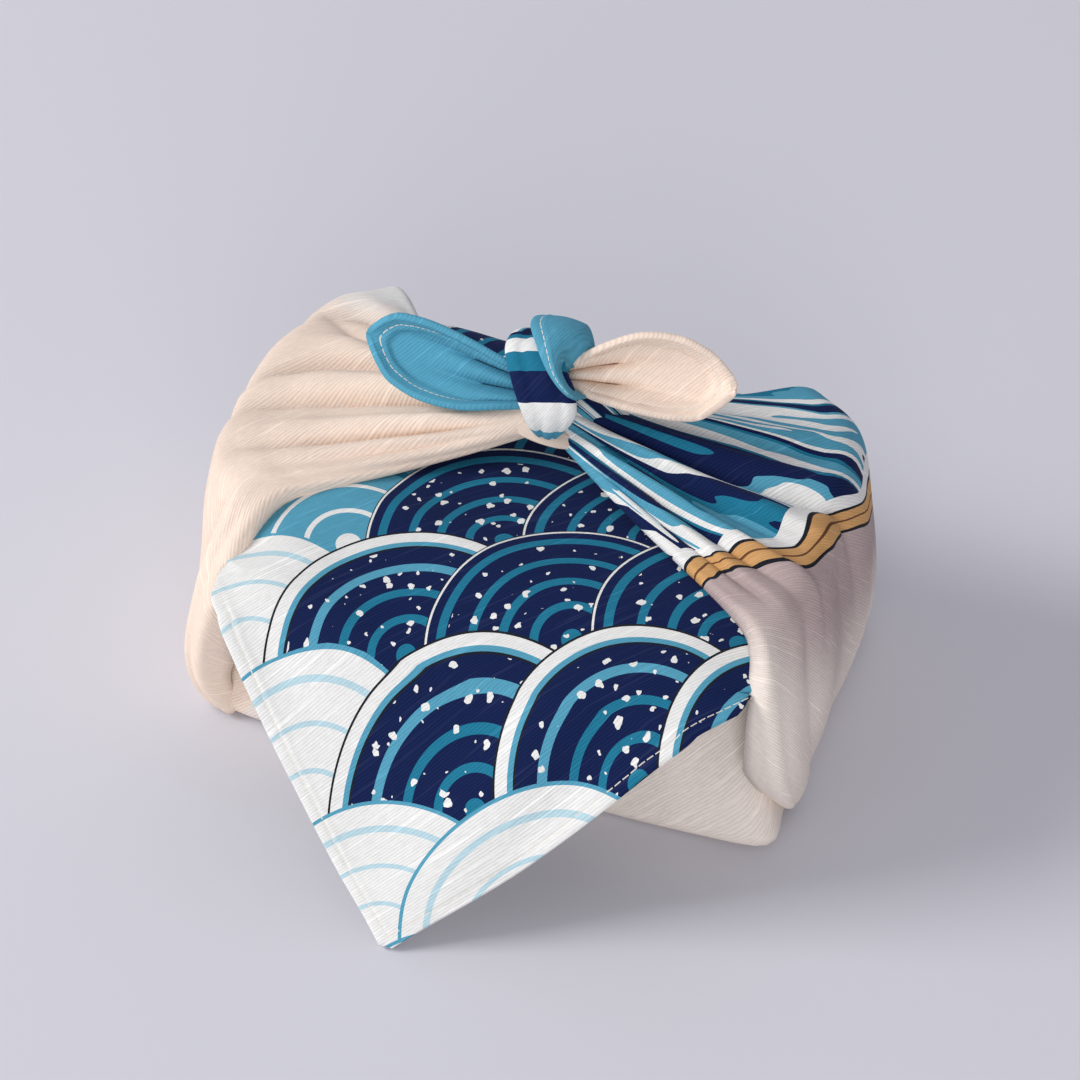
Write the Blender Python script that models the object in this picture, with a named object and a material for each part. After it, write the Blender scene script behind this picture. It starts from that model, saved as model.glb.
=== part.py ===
"""Furoshiki wrap: one square cotton cloth, folded round a box-shaped space and knotted on top.

The cloth is one piece, so the part is one solid. Its back corner comes over the top and hangs down
in front as a flap, its left and right corners are gathered over the two ends and tied, and the ends
of those corners stand out of the knot as two ears. The wrap is hollow: nothing is inside.

Lengths in the tables are millimetres, +Z up, +X along the long side, -Y towards the flap. The
origin is on the surface that the wrap stands on, under the knot.
"""

import bpy
import numpy as np

MM = 0.001

# Driving sizes, in millimetres.
CLOTH_THICKNESS = 1.6  # the woven cloth, thick enough to be a solid sheet
EAR_THICKNESS = (5.0, 2.0)  # an ear is pleated at its root and one hemmed layer at its tip
# How a panel's front and back edges turn in to the layer below.
# place along the fan (0 knot, 1 foot), radius of the turn, straight run after it
EDGE_TURNS = [(0.0, 1.2, 0.0), (0.5, 1.6, 0.0), (0.7, 3.0, 3.0), (0.85, 3.6, 9.0), (1.0, 2.5, 3.0)]
KNOT_MIDDLE = np.array([-4.0, 12.0, 95.0])

CLOTH_COLOUR = (0.86, 0.80, 0.72, 1.0)
CLOTH_ROUGHNESS = 0.9

# Inner layers, as level superellipses from the floor up.
# height, half_length, half_width, middle_x, middle_y, squareness
BASKET_SECTIONS = [
    (0.0, 85.0, 54.0, -2.0, 0.0, 8.0),
    (1.6, 89.0, 58.0, -2.0, -1.0, 10.0),
    (6.0, 90.0, 59.5, -2.0, -1.0, 12.0),
    (14.0, 88.0, 58.0, -2.5, -0.5, 12.0),
    (30.0, 86.5, 56.5, -3.0, -0.5, 10.0),
    (50.0, 85.0, 55.0, -3.5, -0.5, 8.0),
    (65.0, 82.0, 53.5, -3.5, -0.5, 7.0),
]

# Back corner of the cloth, from its tip on the floor in front, over the top and down the back.
# Every row is one line across the cloth, from its left end to its right end.
# y, z, left_reach, right_reach, curl: how far the two ends of the line turn down
FLAP_SECTIONS = [
    (-130.0, 0.8, 1.6, 1.6, 0.0),
    (-124.5, 6.0, 9.0, 9.0, 0.0),
    (-118.5, 12.0, 18.0, 18.0, 0.0),
    (-112.0, 18.2, 27.0, 27.0, 0.0),
    (-105.4, 25.2, 36.0, 36.0, 0.0),
    (-99.2, 33.2, 45.0, 45.0, 0.0),
    (-93.0, 42.0, 54.0, 54.0, 0.0),
    (-86.4, 51.0, 63.0, 63.0, 0.0),
    (-78.5, 58.6, 71.5, 72.0, 0.5),
    (-68.5, 65.2, 74.5, 79.5, 2.0),
    (-57.0, 69.8, 73.0, 79.0, 3.0),
    (-42.0, 72.4, 72.0, 78.0, 3.0),
    (-20.0, 73.6, 72.0, 78.0, 3.0),
    (10.0, 73.8, 72.0, 78.0, 3.0),
    (38.0, 72.6, 72.0, 76.0, 3.0),
    (53.0, 70.0, 72.0, 74.0, 3.0),
    (60.5, 62.0, 73.0, 73.0, 3.0),
    (60.8, 45.0, 75.0, 73.0, 3.0),
    (60.6, 25.0, 76.0, 73.0, 2.5),
    (60.0, 7.0, 77.0, 74.0, 2.0),
]

# Left corner of the cloth, gathered over the left end. Every row is one radial line of the fan,
# from its front fold to its back fold.
# mouth_angle, shoulder x, y, z, hip x, y, z, waist x, y, z, foot x, y, z
LEFT_PANEL = [
    (-30.0, -73.0, -40.0, 75.0, -78.0, -69.5, 63.0, -91.0, -65.0, 22.0, -82.0, -58.0, 2.0),
    (0.0, -84.0, -38.0, 76.0, -86.5, -54.0, 63.0, -94.0, -59.0, 22.0, -88.0, -53.0, 1.5),
    (40.0, -97.0, -22.0, 76.5, -95.5, -26.0, 60.0, -97.5, -29.0, 25.0, -89.0, -28.0, 1.5),
    (75.0, -99.5, 3.0, 79.0, -98.0, 3.0, 60.0, -98.5, 3.0, 25.0, -89.0, 2.0, 1.5),
    (105.0, -97.5, 28.0, 81.0, -96.0, 30.0, 60.0, -97.5, 30.0, 25.0, -89.0, 30.0, 1.5),
    (135.0, -90.0, 51.0, 81.0, -90.5, 54.0, 60.0, -92.5, 55.0, 25.0, -86.5, 51.0, 1.5),
    (165.0, -77.0, 61.5, 81.5, -78.0, 64.0, 60.0, -79.0, 64.0, 25.0, -76.0, 56.5, 3.0),
]

# Right corner of the cloth, gathered over the right end, from its front fold to its back fold.
RIGHT_PANEL = [
    (-30.0, 80.0, -46.0, 75.0, 91.0, -66.0, 66.0, 92.0, -59.0, 28.0, 89.0, -43.0, 3.0),
    (0.0, 85.0, -36.0, 75.5, 93.0, -50.0, 60.0, 95.0, -48.0, 26.0, 88.0, -35.0, 2.0),
    (35.0, 86.0, -18.0, 76.0, 91.0, -22.0, 60.0, 94.5, -23.0, 26.0, 85.5, -22.0, 1.5),
    (65.0, 86.0, 4.0, 77.5, 90.0, 4.0, 60.0, 93.5, 4.0, 26.0, 85.5, 3.0, 1.5),
    (95.0, 84.5, 26.0, 79.0, 88.5, 28.0, 60.0, 92.0, 28.0, 26.0, 85.5, 29.0, 1.5),
    (125.0, 78.0, 46.0, 80.5, 84.0, 50.0, 60.0, 87.5, 52.0, 26.0, 83.0, 50.0, 1.5),
    (150.0, 64.0, 57.0, 80.5, 70.0, 63.0, 60.0, 74.0, 63.0, 26.0, 72.0, 56.5, 3.0),
]

# Mouth of each gathered corner, where it goes into the knot.
# x, y, z, radius across, radius up
LEFT_MOUTH = (-12.0, 9.0, 84.5, 8.5, 6.5)
RIGHT_MOUTH = (8.0, 13.0, 85.5, 8.5, 7.5)

# Folds that run out from the knot.
# place across the fan (0 front to 1 back), width, height (a negative one is a trough),
# where it starts and ends along the fan (0 knot to 1 foot)
LEFT_FOLDS = [
    (0.16, 0.060, 1.6, 0.12, 0.60),
    (0.30, 0.050, -1.8, 0.12, 0.65),
    (0.44, 0.055, 1.5, 0.12, 0.55),
    (0.57, 0.050, -1.6, 0.12, 0.68),
    (0.70, 0.055, 1.4, 0.12, 0.55),
    (0.83, 0.050, -1.5, 0.12, 0.55),
]
RIGHT_FOLDS = [
    (0.13, 0.050, 1.8, 0.12, 0.80),
    (0.24, 0.045, -2.2, 0.12, 0.88),
    (0.36, 0.055, 2.0, 0.12, 0.72),
    (0.50, 0.045, -2.4, 0.12, 0.70),
    (0.62, 0.055, 1.8, 0.12, 0.60),
    (0.76, 0.050, -1.4, 0.12, 0.55),
]

# Strands of the knot, as flattened tubes along a line.
# x, y, z, half_width, half_thickness
CORE_STRAND = [
    (-24.0, 6.0, 81.5, 7.5, 4.5),
    (-15.0, 9.0, 85.0, 8.0, 7.0),
    (-4.0, 12.0, 91.0, 9.5, 9.0),
    (5.0, 14.5, 95.5, 6.5, 6.0),
    (11.0, 16.5, 98.0, 3.5, 3.0),
]
GATHER_STRAND = [
    (20.0, 11.0, 81.5, 7.5, 4.5),
    (10.0, 13.5, 85.5, 8.0, 7.0),
    (0.0, 15.0, 91.0, 9.5, 9.0),
    (-9.0, 13.5, 93.5, 6.5, 6.0),
    (-16.0, 12.0, 94.5, 4.0, 3.5),
]
KNOT_HEART = [
    (-10.0, 12.0, 96.0, 6.5, 6.5),
    (-4.0, 12.0, 97.0, 11.5, 12.0),
    (2.0, 12.0, 97.5, 11.5, 12.0),
    (8.0, 13.0, 97.0, 6.5, 6.5),
]
# Band that wraps the two strands: a closed loop round the line along X through the knot's middle.
# angle from the back over the top, x, reach, half_width
BAND_LOOP = [
    (180.0, -0.5, 12.5, 8.0),
    (140.0, -1.0, 15.0, 10.0),
    (100.0, -1.0, 17.0, 11.5),
    (60.0, 0.5, 16.5, 10.5),
    (0.0, 1.0, 12.5, 8.0),
    (-50.0, 1.0, 13.0, 6.0),
    (-90.0, 1.0, 14.5, 4.5),
    (-135.0, 0.5, 14.5, 5.5),
]
BAND_HALF_THICKNESS = 3.4

# Ears, as leaves from the knot to the corner's tip.
# x, y, z of the middle line, half_width, cup: how far the rims stand forward
LEFT_EAR = [
    (-7.0, 8.5, 95.5, 6.0, 1.0),
    (-16.0, 6.0, 97.0, 7.5, 2.5),
    (-28.0, 5.5, 98.2, 10.8, 4.0),
    (-41.0, 7.0, 99.0, 12.5, 5.0),
    (-52.0, 8.5, 100.0, 11.0, 5.0),
    (-59.5, 10.0, 100.5, 4.0, 4.0),
]
RIGHT_EAR = [
    (-1.0, 9.5, 97.5, 5.0, 1.0),
    (9.0, 10.0, 100.5, 8.8, 2.5),
    (22.0, 12.5, 103.6, 12.8, 4.0),
    (33.0, 14.5, 104.8, 12.8, 5.0),
    (43.0, 15.8, 106.0, 9.8, 4.5),
    (49.5, 16.0, 107.4, 3.5, 3.5),
]
EAR_TILT = 60.0  # degrees that an ear's face leans back from level

# Mesh fineness.
BASKET_STEPS_ROUND = 52
FLAP_STEPS = (34, 14)  # along and across
PANEL_STEPS = (24, 18)  # across the fan and along it
STRAND_STEPS = (9, 10)  # along and round
BAND_STEPS = (20, 8)
EAR_STEPS = (12, 8)


def through_rows(rows, count):
    """Rows of numbers read evenly from a smooth Catmull-Rom line through the given rows."""
    rows = np.asarray(rows, float)
    place = np.linspace(0, len(rows) - 1, count)
    first = np.minimum(place.astype(int), len(rows) - 2)
    part = (place - first).reshape((-1,) + (1,) * (rows.ndim - 1))
    padded = np.concatenate([2 * rows[:1] - rows[1:2], rows, 2 * rows[-1:] - rows[-2:-1]])
    a, b, c, d = (padded[first + k] for k in range(4))
    return 0.5 * (
        2 * b
        + (c - a) * part
        + (2 * a - 5 * b + 4 * c - d) * part**2
        + (3 * b - a - 3 * c + d) * part**3
    )


def near_points(points, count):
    """A clamped cubic B-spline: it starts and ends on the first and last point and rounds the rest."""
    points = np.asarray(points, float)
    spans = len(points) - 3
    knots = np.concatenate([[0.0] * 3, np.arange(spans + 1.0), [float(spans)] * 3])
    place = np.clip(np.linspace(0, spans, count), 0, spans - 1e-9)
    weights = [(place >= knots[j]) & (place < knots[j + 1]) for j in range(len(knots) - 1)]
    weights = [w.astype(float) for w in weights]
    for degree in (1, 2, 3):
        raised = []
        for j in range(len(knots) - 1 - degree):
            total = np.zeros_like(place)
            left, right = knots[j + degree] - knots[j], knots[j + degree + 1] - knots[j + 1]
            if left > 0:
                total += (place - knots[j]) / left * weights[j]
            if right > 0:
                total += (knots[j + degree + 1] - place) / right * weights[j + 1]
            raised.append(total)
        weights = raised
    return np.tensordot(np.stack(weights, 1), points, axes=(1, 0))


def unit(vectors):
    length = np.linalg.norm(vectors, axis=-1, keepdims=True)
    return vectors / np.maximum(length, 1e-9)


def grid_normals(grid):
    """Outward directions of a grid of points, from the steps along its two ways."""
    return unit(np.cross(np.gradient(grid, axis=0), np.gradient(grid, axis=1)))


def add_object(name, points, faces):
    """A body from points in millimetres and faces, each face cut into flat triangles."""
    flat = []
    for face in faces:
        flat += [[face[0], face[k], face[k + 1]] for k in range(1, len(face) - 1)]
    mesh = bpy.data.meshes.new(name)
    mesh.from_pydata((np.asarray(points) * MM).tolist(), [], flat)
    mesh.validate()
    thing = bpy.data.objects.new(name, mesh)
    bpy.context.scene.collection.objects.link(thing)
    return thing


def grid_faces(rows, columns, first, flip=False, closed=False):
    """Quads of a grid whose points are numbered row by row from first.

    closed joins the last column to the first, and flip turns the faces over.
    """
    faces = []
    for i in range(rows - 1):
        for j in range(columns if closed else columns - 1):
            k = (j + 1) % columns
            quad = [
                first + i * columns + j,
                first + (i + 1) * columns + j,
                first + (i + 1) * columns + k,
                first + i * columns + k,
            ]
            faces.append(quad[::-1] if flip else quad)
    return faces


def sheet_solid(name, grid, thickness):
    """A grid of points given a thickness, half to each side, as one closed body."""
    rows, columns = grid.shape[:2]
    offset = grid_normals(grid) * thickness / 2
    points = np.concatenate([(grid + offset).reshape(-1, 3), (grid - offset).reshape(-1, 3)])
    back = rows * columns
    faces = grid_faces(rows, columns, 0) + grid_faces(rows, columns, back, flip=True)
    rim = list(range(columns))
    rim += [i * columns + columns - 1 for i in range(1, rows)]
    rim += [(rows - 1) * columns + j for j in range(columns - 2, -1, -1)]
    rim += [i * columns for i in range(rows - 2, 0, -1)]
    for a, b in zip(rim, rim[1:] + rim[:1]):
        faces.append([a, b, b + back, a + back])
    return add_object(name, points, faces)


def tube_solid(name, rings, ends_closed=True):
    """Rings of points joined in order: a tube with filled ends, or a closed loop."""
    count, sides = rings.shape[:2]
    points = rings.reshape(-1, 3)
    if ends_closed:
        faces = grid_faces(count, sides, 0, closed=True)
        faces.append(list(range(sides)))
        faces.append([(count - 1) * sides + j for j in range(sides - 1, -1, -1)])
        return add_object(name, points, faces)
    faces = []
    for i in range(count):
        for j in range(sides):
            k, m = (i + 1) % count, (j + 1) % sides
            faces.append([i * sides + j, k * sides + j, k * sides + m, i * sides + m])
    return add_object(name, points, faces)


def superellipse(section, angles, inward=0.0):
    """One level outline of the inner layers, moved inward by the layers' thickness."""
    height, half_length, half_width, middle_x, middle_y, squareness = section
    across, along = np.cos(angles) / (half_length - inward), np.sin(angles) / (half_width - inward)
    reach = (np.abs(across) ** squareness + np.abs(along) ** squareness) ** (-1 / squareness)
    flat = np.stack([reach * np.cos(angles) + middle_x, reach * np.sin(angles) + middle_y], 1)
    return np.column_stack([flat, np.full(len(angles), height)])


def make_basket():
    """Floor and standing walls of the wrap: an open tray whose underside is flat."""
    angles = np.linspace(0, 2 * np.pi, BASKET_STEPS_ROUND, endpoint=False)
    outer = [superellipse(s, angles) for s in BASKET_SECTIONS]
    inner = [superellipse(s, angles, inward=CLOTH_THICKNESS) for s in BASKET_SECTIONS[2:]][::-1]
    floor = superellipse(BASKET_SECTIONS[1], angles, inward=CLOTH_THICKNESS * 2)
    inner.append(floor + [0, 0, CLOTH_THICKNESS])
    rings = np.stack(outer + inner)
    count, sides = rings.shape[:2]
    points = np.concatenate([rings.reshape(-1, 3), [rings[0].mean(0)], [rings[-1].mean(0)]])
    under, above = count * sides, count * sides + 1
    faces = grid_faces(count, sides, 0, closed=True, flip=True)
    for j in range(sides):
        k = (j + 1) % sides
        faces.append([under, k, j])
        faces.append([above, (count - 1) * sides + j, (count - 1) * sides + k])
    return add_object("basket", points, faces)


def make_flap():
    """The back corner: straight across in the middle, its two ends curled down round the wrap."""
    along, across = FLAP_STEPS
    rows = through_rows(FLAP_SECTIONS, along)
    path = np.column_stack([np.zeros(along), rows[:, 0], rows[:, 1]])
    step = unit(np.gradient(path, axis=0))
    up = np.column_stack([np.zeros(along), -step[:, 2], step[:, 1]])
    side = np.linspace(-1, 1, across)
    reach = np.where(side < 0, rows[:, 2:3], rows[:, 3:4]) * side
    bend = np.clip((np.abs(side) - 0.72) / 0.28, 0, 1) ** 2
    grid = path[:, None] + reach[..., None] * np.array([1.0, 0, 0])
    grid = grid - up[:, None] * (rows[:, 4:5] * bend)[..., None]
    return sheet_solid("flap", grid[:, ::-1], CLOTH_THICKNESS)


def fold_heights(folds, across, along):
    """Height of the radial folds over the fan: each is a soft ridge that fades in and out."""
    height = np.zeros((len(across), len(along)))
    for place, width, size, start, end in folds:
        ridge = np.exp(-(((across[:, None] - place) / width) ** 2))
        fade = np.clip((along - start) / 0.2, 0, 1) * np.clip((end - along) / 0.3, 0, 1)
        height += size * ridge * fade[None, :]
    return height


def panel_grid(rows, mouth, folds, side):
    """The fan of one gathered corner. side is -1 on the left and 1 on the right."""
    mouth_x, mouth_y, mouth_z, radius_across, radius_up = mouth
    lines = []
    for angle, *ends in rows:
        turn = np.radians(angle)
        start = np.array([
            mouth_x,
            mouth_y - radius_across * np.cos(turn),
            mouth_z + radius_up * np.sin(turn),
        ])
        shoulder, hip, waist, foot = np.array(ends, float).reshape(4, 3)
        over = shoulder - start
        sag = np.array([0, 0, -1.0])
        lines.append([
            start,
            start + over * 0.15 + sag * 1.0,
            start + over * 0.45 + sag * 2.0,
            start + over * 0.75 + sag * 0.5,
            shoulder - unit(over) * 10.0,
            shoulder + unit(over) * 1.5 + [0, 0, 1.5],
            hip,
            waist,
            waist * 0.35 + foot * 0.65 + [side * 1.5, 0, 0],
            foot,
        ])
    across, along = PANEL_STEPS
    lines = through_rows(lines, across)
    grid = np.stack([near_points(line, along) for line in lines])
    places = np.linspace(0, 1, across)
    if side > 0:
        grid, places = grid[::-1], places[::-1]
    normal = grid_normals(grid)
    grid = grid + normal * fold_heights(folds, places, np.linspace(0, 1, along))[..., None]
    return with_turned_edges(grid)


def with_turned_edges(grid):
    """Adds to both long edges of a fan a quarter round that turns in to the layer below."""
    normal = grid_normals(grid)
    along = np.linspace(0, 1, grid.shape[1])
    place, radius, run = np.array(EDGE_TURNS).T
    radius, run = (np.interp(along, place, values)[:, None] for values in (radius, run))
    edges = []
    for edge, inside in ((0, 1), (-1, -2)):
        out = unit(grid[edge] - grid[inside])
        out = unit(out - normal[edge] * (out * normal[edge]).sum(1, keepdims=True))
        rows = []
        for turn in np.radians([35, 65, 90]):
            rows.append(grid[edge] + radius * (np.sin(turn) * out - (1 - np.cos(turn)) * normal[edge]))
        rows[-1] -= run * normal[edge]
        edges.append(rows)
    return np.concatenate([np.array(edges[0][::-1]), grid, np.array(edges[1])])


def make_panel(name, rows, mouth, folds, side):
    return sheet_solid(name, panel_grid(rows, mouth, folds, side), CLOTH_THICKNESS)


def make_strand(name, rows):
    """A flattened tube along a smooth line through the rows."""
    along, around = STRAND_STEPS
    rows = near_points(rows, along)
    path, half_width, half_thickness = rows[:, :3], rows[:, 3], rows[:, 4]
    step = unit(np.gradient(path, axis=0))
    wide = unit(np.cross(step, np.array([0, -0.5, 1.0])))
    thick = np.cross(wide, step)
    turn = np.linspace(0, 2 * np.pi, around, endpoint=False)
    rings = (
        path[:, None]
        + wide[:, None] * (half_width[:, None] * np.cos(turn))[..., None]
        + thick[:, None] * (half_thickness[:, None] * np.sin(turn))[..., None]
    )
    return tube_solid(name, rings)


def make_band():
    """The loop that wraps the knot, a flattened ring whose width changes on the way round."""
    along, around = BAND_STEPS
    rows = np.array(BAND_LOOP + BAND_LOOP[:1], float)
    rows[-1, 0] -= 360.0
    rows = through_rows(rows, along + 1)[:-1]
    angle = np.radians(rows[:, 0])
    out = np.column_stack([np.zeros(along), np.cos(angle), np.sin(angle)])
    centre = KNOT_MIDDLE + out * rows[:, 2:3] + np.column_stack([rows[:, 1], np.zeros((along, 2))])
    turn = np.linspace(0, 2 * np.pi, around, endpoint=False)
    rings = (
        centre[:, None]
        + np.array([1.0, 0, 0]) * (rows[:, 3:4] * np.cos(turn))[..., None]
        + out[:, None] * (BAND_HALF_THICKNESS * np.sin(turn))[None, :, None]
    )
    return tube_solid("band", rings, ends_closed=False)


def make_ear(name, rows, side):
    """A cupped leaf: its middle line lies back and its two rims stand forward."""
    along, across = EAR_STEPS
    rows = through_rows(rows, along)
    tilt = np.radians(EAR_TILT)
    up = np.array([0, np.cos(tilt), np.sin(tilt)])
    forward = np.array([0, -np.sin(tilt), np.cos(tilt)])
    place = np.linspace(-1, 1, across)
    grid = (
        rows[:, None, :3]
        + up * (rows[:, 3:4] * place)[..., None]
        + forward * (rows[:, 4:5] * (place**2 - 0.4))[..., None]
    )
    if side > 0:
        grid = grid[:, ::-1]
    thickness = np.interp(np.arange(along), [0, along // 2], EAR_THICKNESS)
    return sheet_solid(name, grid, thickness[:, None, None])


def make_material():
    material = bpy.data.materials.new("slub_cotton")
    material.use_nodes = True
    shader = material.node_tree.nodes["Principled BSDF"]
    shader.inputs["Base Color"].default_value = CLOTH_COLOUR
    shader.inputs["Roughness"].default_value = CLOTH_ROUGHNESS
    shader.inputs["Metallic"].default_value = 0.0
    material.diffuse_color = CLOTH_COLOUR
    return material


def join_to(body, others):
    """Joins the other folds to the cloth's body in one step, so that the cloth is one closed solid."""
    folds = bpy.data.collections.new("folds")
    bpy.context.scene.collection.children.link(folds)
    folds.hide_render = True
    for other in others:
        bpy.context.scene.collection.objects.unlink(other)
        folds.objects.link(other)
        other.hide_render = True
        other.display_type = "WIRE"
    union = body.modifiers.new("join_folds", "BOOLEAN")
    union.operation = "UNION"
    union.solver = "EXACT"
    union.operand_type = "COLLECTION"
    union.collection = folds


def main():
    for thing in list(bpy.data.objects):
        bpy.data.objects.remove(thing)
    cloth = make_basket()
    cloth.name = "furoshiki_cloth"
    folds = [
        make_flap(),
        make_panel("left_panel", LEFT_PANEL, LEFT_MOUTH, LEFT_FOLDS, -1),
        make_panel("right_panel", RIGHT_PANEL, RIGHT_MOUTH, RIGHT_FOLDS, 1),
        make_strand("core_strand", CORE_STRAND),
        make_strand("gather_strand", GATHER_STRAND),
        make_strand("knot_heart", KNOT_HEART),
        make_band(),
        make_ear("left_ear", LEFT_EAR, -1),
        make_ear("right_ear", RIGHT_EAR, 1),
    ]
    join_to(cloth, folds)
    cloth.data.materials.append(make_material())


main()
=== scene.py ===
from functools import partial
import bpy
import numpy as np
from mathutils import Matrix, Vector


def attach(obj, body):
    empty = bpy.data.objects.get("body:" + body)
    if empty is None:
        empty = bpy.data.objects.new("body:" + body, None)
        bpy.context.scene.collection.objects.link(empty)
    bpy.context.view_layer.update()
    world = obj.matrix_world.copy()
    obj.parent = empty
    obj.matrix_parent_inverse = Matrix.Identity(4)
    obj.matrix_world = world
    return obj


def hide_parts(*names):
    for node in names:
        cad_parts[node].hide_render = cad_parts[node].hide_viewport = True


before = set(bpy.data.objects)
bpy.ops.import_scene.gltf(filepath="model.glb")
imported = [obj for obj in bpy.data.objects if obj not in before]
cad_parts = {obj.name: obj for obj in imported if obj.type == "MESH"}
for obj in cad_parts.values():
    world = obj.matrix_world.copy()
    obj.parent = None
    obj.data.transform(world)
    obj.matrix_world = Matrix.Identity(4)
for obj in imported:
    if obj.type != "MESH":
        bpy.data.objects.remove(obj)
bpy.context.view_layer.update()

print("frame loaded")

# Lengths below are millimetres: +X along the long side, -Y towards the flap, +Z up.
mm = 0.001
cloth = {
    "side": 490.0,       # finished edge of the square
    "thickness": 0.85,   # one layer
    "hemWidth": 4.6,     # the turned and stitched border
    "hemThickness": 1.7,
    "hemFade": 0.9,      # over which the hem thins to one layer
    "edgeRound": 0.8,    # how far in the hem's edge rounds off
    "stitchIn": 3.2,     # the seam's distance from the edge
    "seamDepth": 0.26, "seamWidth": 0.4,
}
cornerReach = cloth["side"] / 2 ** 0.5  # from the middle of the square to a corner


def throughRows(rows, places):
    # Catmull-Rom line through the rows of a table, read at fractional row numbers.
    rows = np.asarray(rows, float)
    places = np.asarray(places, float)
    first = np.clip(places.astype(int), 0, len(rows) - 2)
    part = (places - first).reshape((-1,) + (1,) * (rows.ndim - 1))
    padded = np.concatenate([2 * rows[:1] - rows[1:2], rows, 2 * rows[-1:] - rows[-2:-1]])
    a, b, c, d = (padded[first + k] for k in range(4))
    return 0.5 * (2 * b + (c - a) * part + (2 * a - 5 * b + 4 * c - d) * part ** 2
                  + (3 * b - a - 3 * c + d) * part ** 3)


def evenRows(rows, count):
    return throughRows(rows, np.linspace(0, len(rows) - 1, count))


def lengthsAlong(points, axis=0):
    # Running length of each line of points from its first one.
    steps = np.diff(points, axis=axis, prepend=np.take(points, [0], axis))
    return np.cumsum(np.linalg.norm(steps, axis=-1), axis=axis)


def nearPoints(points, places):
    # Clamped cubic B-spline: starts and ends on the first and last point, rounds the rest. places run 0 to 1.
    points = np.asarray(points, float)
    spans = len(points) - 3
    knots = np.concatenate([[0.0] * 3, np.arange(spans + 1.0), [float(spans)] * 3])
    at = np.clip(np.asarray(places, float) * spans, 0, spans - 1e-9)
    weights = [((at >= knots[j]) & (at < knots[j + 1])).astype(float) for j in range(len(knots) - 1)]
    for degree in (1, 2, 3):
        raised = []
        for j in range(len(knots) - 1 - degree):
            total = np.zeros_like(at)
            left, right = knots[j + degree] - knots[j], knots[j + degree + 1] - knots[j + 1]
            if left > 0:
                total += (at - knots[j]) / left * weights[j]
            if right > 0:
                total += (knots[j + degree + 1] - at) / right * weights[j + 1]
            raised.append(total)
        weights = raised
    return np.tensordot(np.stack(weights, 1), points, axes=(1, 0))


def unit(vectors):
    return vectors / np.maximum(np.linalg.norm(vectors, axis=-1, keepdims=True), 1e-9)


def evenedOut(vectors):
    # Each direction becomes the mean of the nine round it in its line.
    padded = np.pad(vectors, ((4, 4), (0, 0)), "edge")
    return unit(sum(padded[k:k + len(vectors)] for k in range(9)))


def gridNormals(grid):
    # Cross product of the steps along the grid's two ways.
    return unit(np.cross(np.gradient(grid, axis=0), np.gradient(grid, axis=1)))


def overEdge(across, reach, radius, slant):
    # Straight for the reach, then a quarter turn and a slanted hang: the place along X and the way down.
    past = np.clip(np.abs(across) - reach, 0, None)
    turn = np.clip(past / radius, 0, np.pi / 2)
    hang = np.clip(past - radius * np.pi / 2, 0, None)
    x = np.minimum(np.abs(across), reach) + radius * np.sin(turn) + hang * slant
    return np.sign(across) * x, radius * (1 - np.cos(turn)) + hang


def softStep(value, low, high):
    # 0 below low, 1 above high, smooth in between.
    t = np.clip((value - low) / (high - low), 0, 1)
    return t * t * (3 - 2 * t)


def ripple(x, y, scale, seed):
    # Sum of eight sine waves in random directions: a smooth uneven surface about 1 high.
    rng = np.random.default_rng(seed)
    total = np.zeros(np.broadcast(x, y).shape)
    waves = zip(rng.uniform(0, np.pi, 8), rng.uniform(0, 6.28, 8), rng.uniform(0.6, 1.7, 8))
    for angle, phase, stretch in waves:
        along = x * np.cos(angle) + y * np.sin(angle)
        total = total + np.sin(along * 6.28 / (scale * stretch) + phase)
    return total / 4


def edgeDistance(flat):
    # How far a place on the flat cloth is from its nearest edge.
    return (cornerReach - np.abs(flat[..., 0]) - np.abs(flat[..., 1])) / 2 ** 0.5


surfaces = []  # every surface of the one cloth: points, faces, and each point's two map places


def keepSurface(grid, faces, flat, weave):
    surfaces.append({
        "points": grid.reshape(-1, 3), "faces": np.concatenate([part.reshape(-1, 4) for part in faces]),
        "flat": flat.reshape(-1, 2), "weave": weave.reshape(-1, 2),
    })


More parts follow.
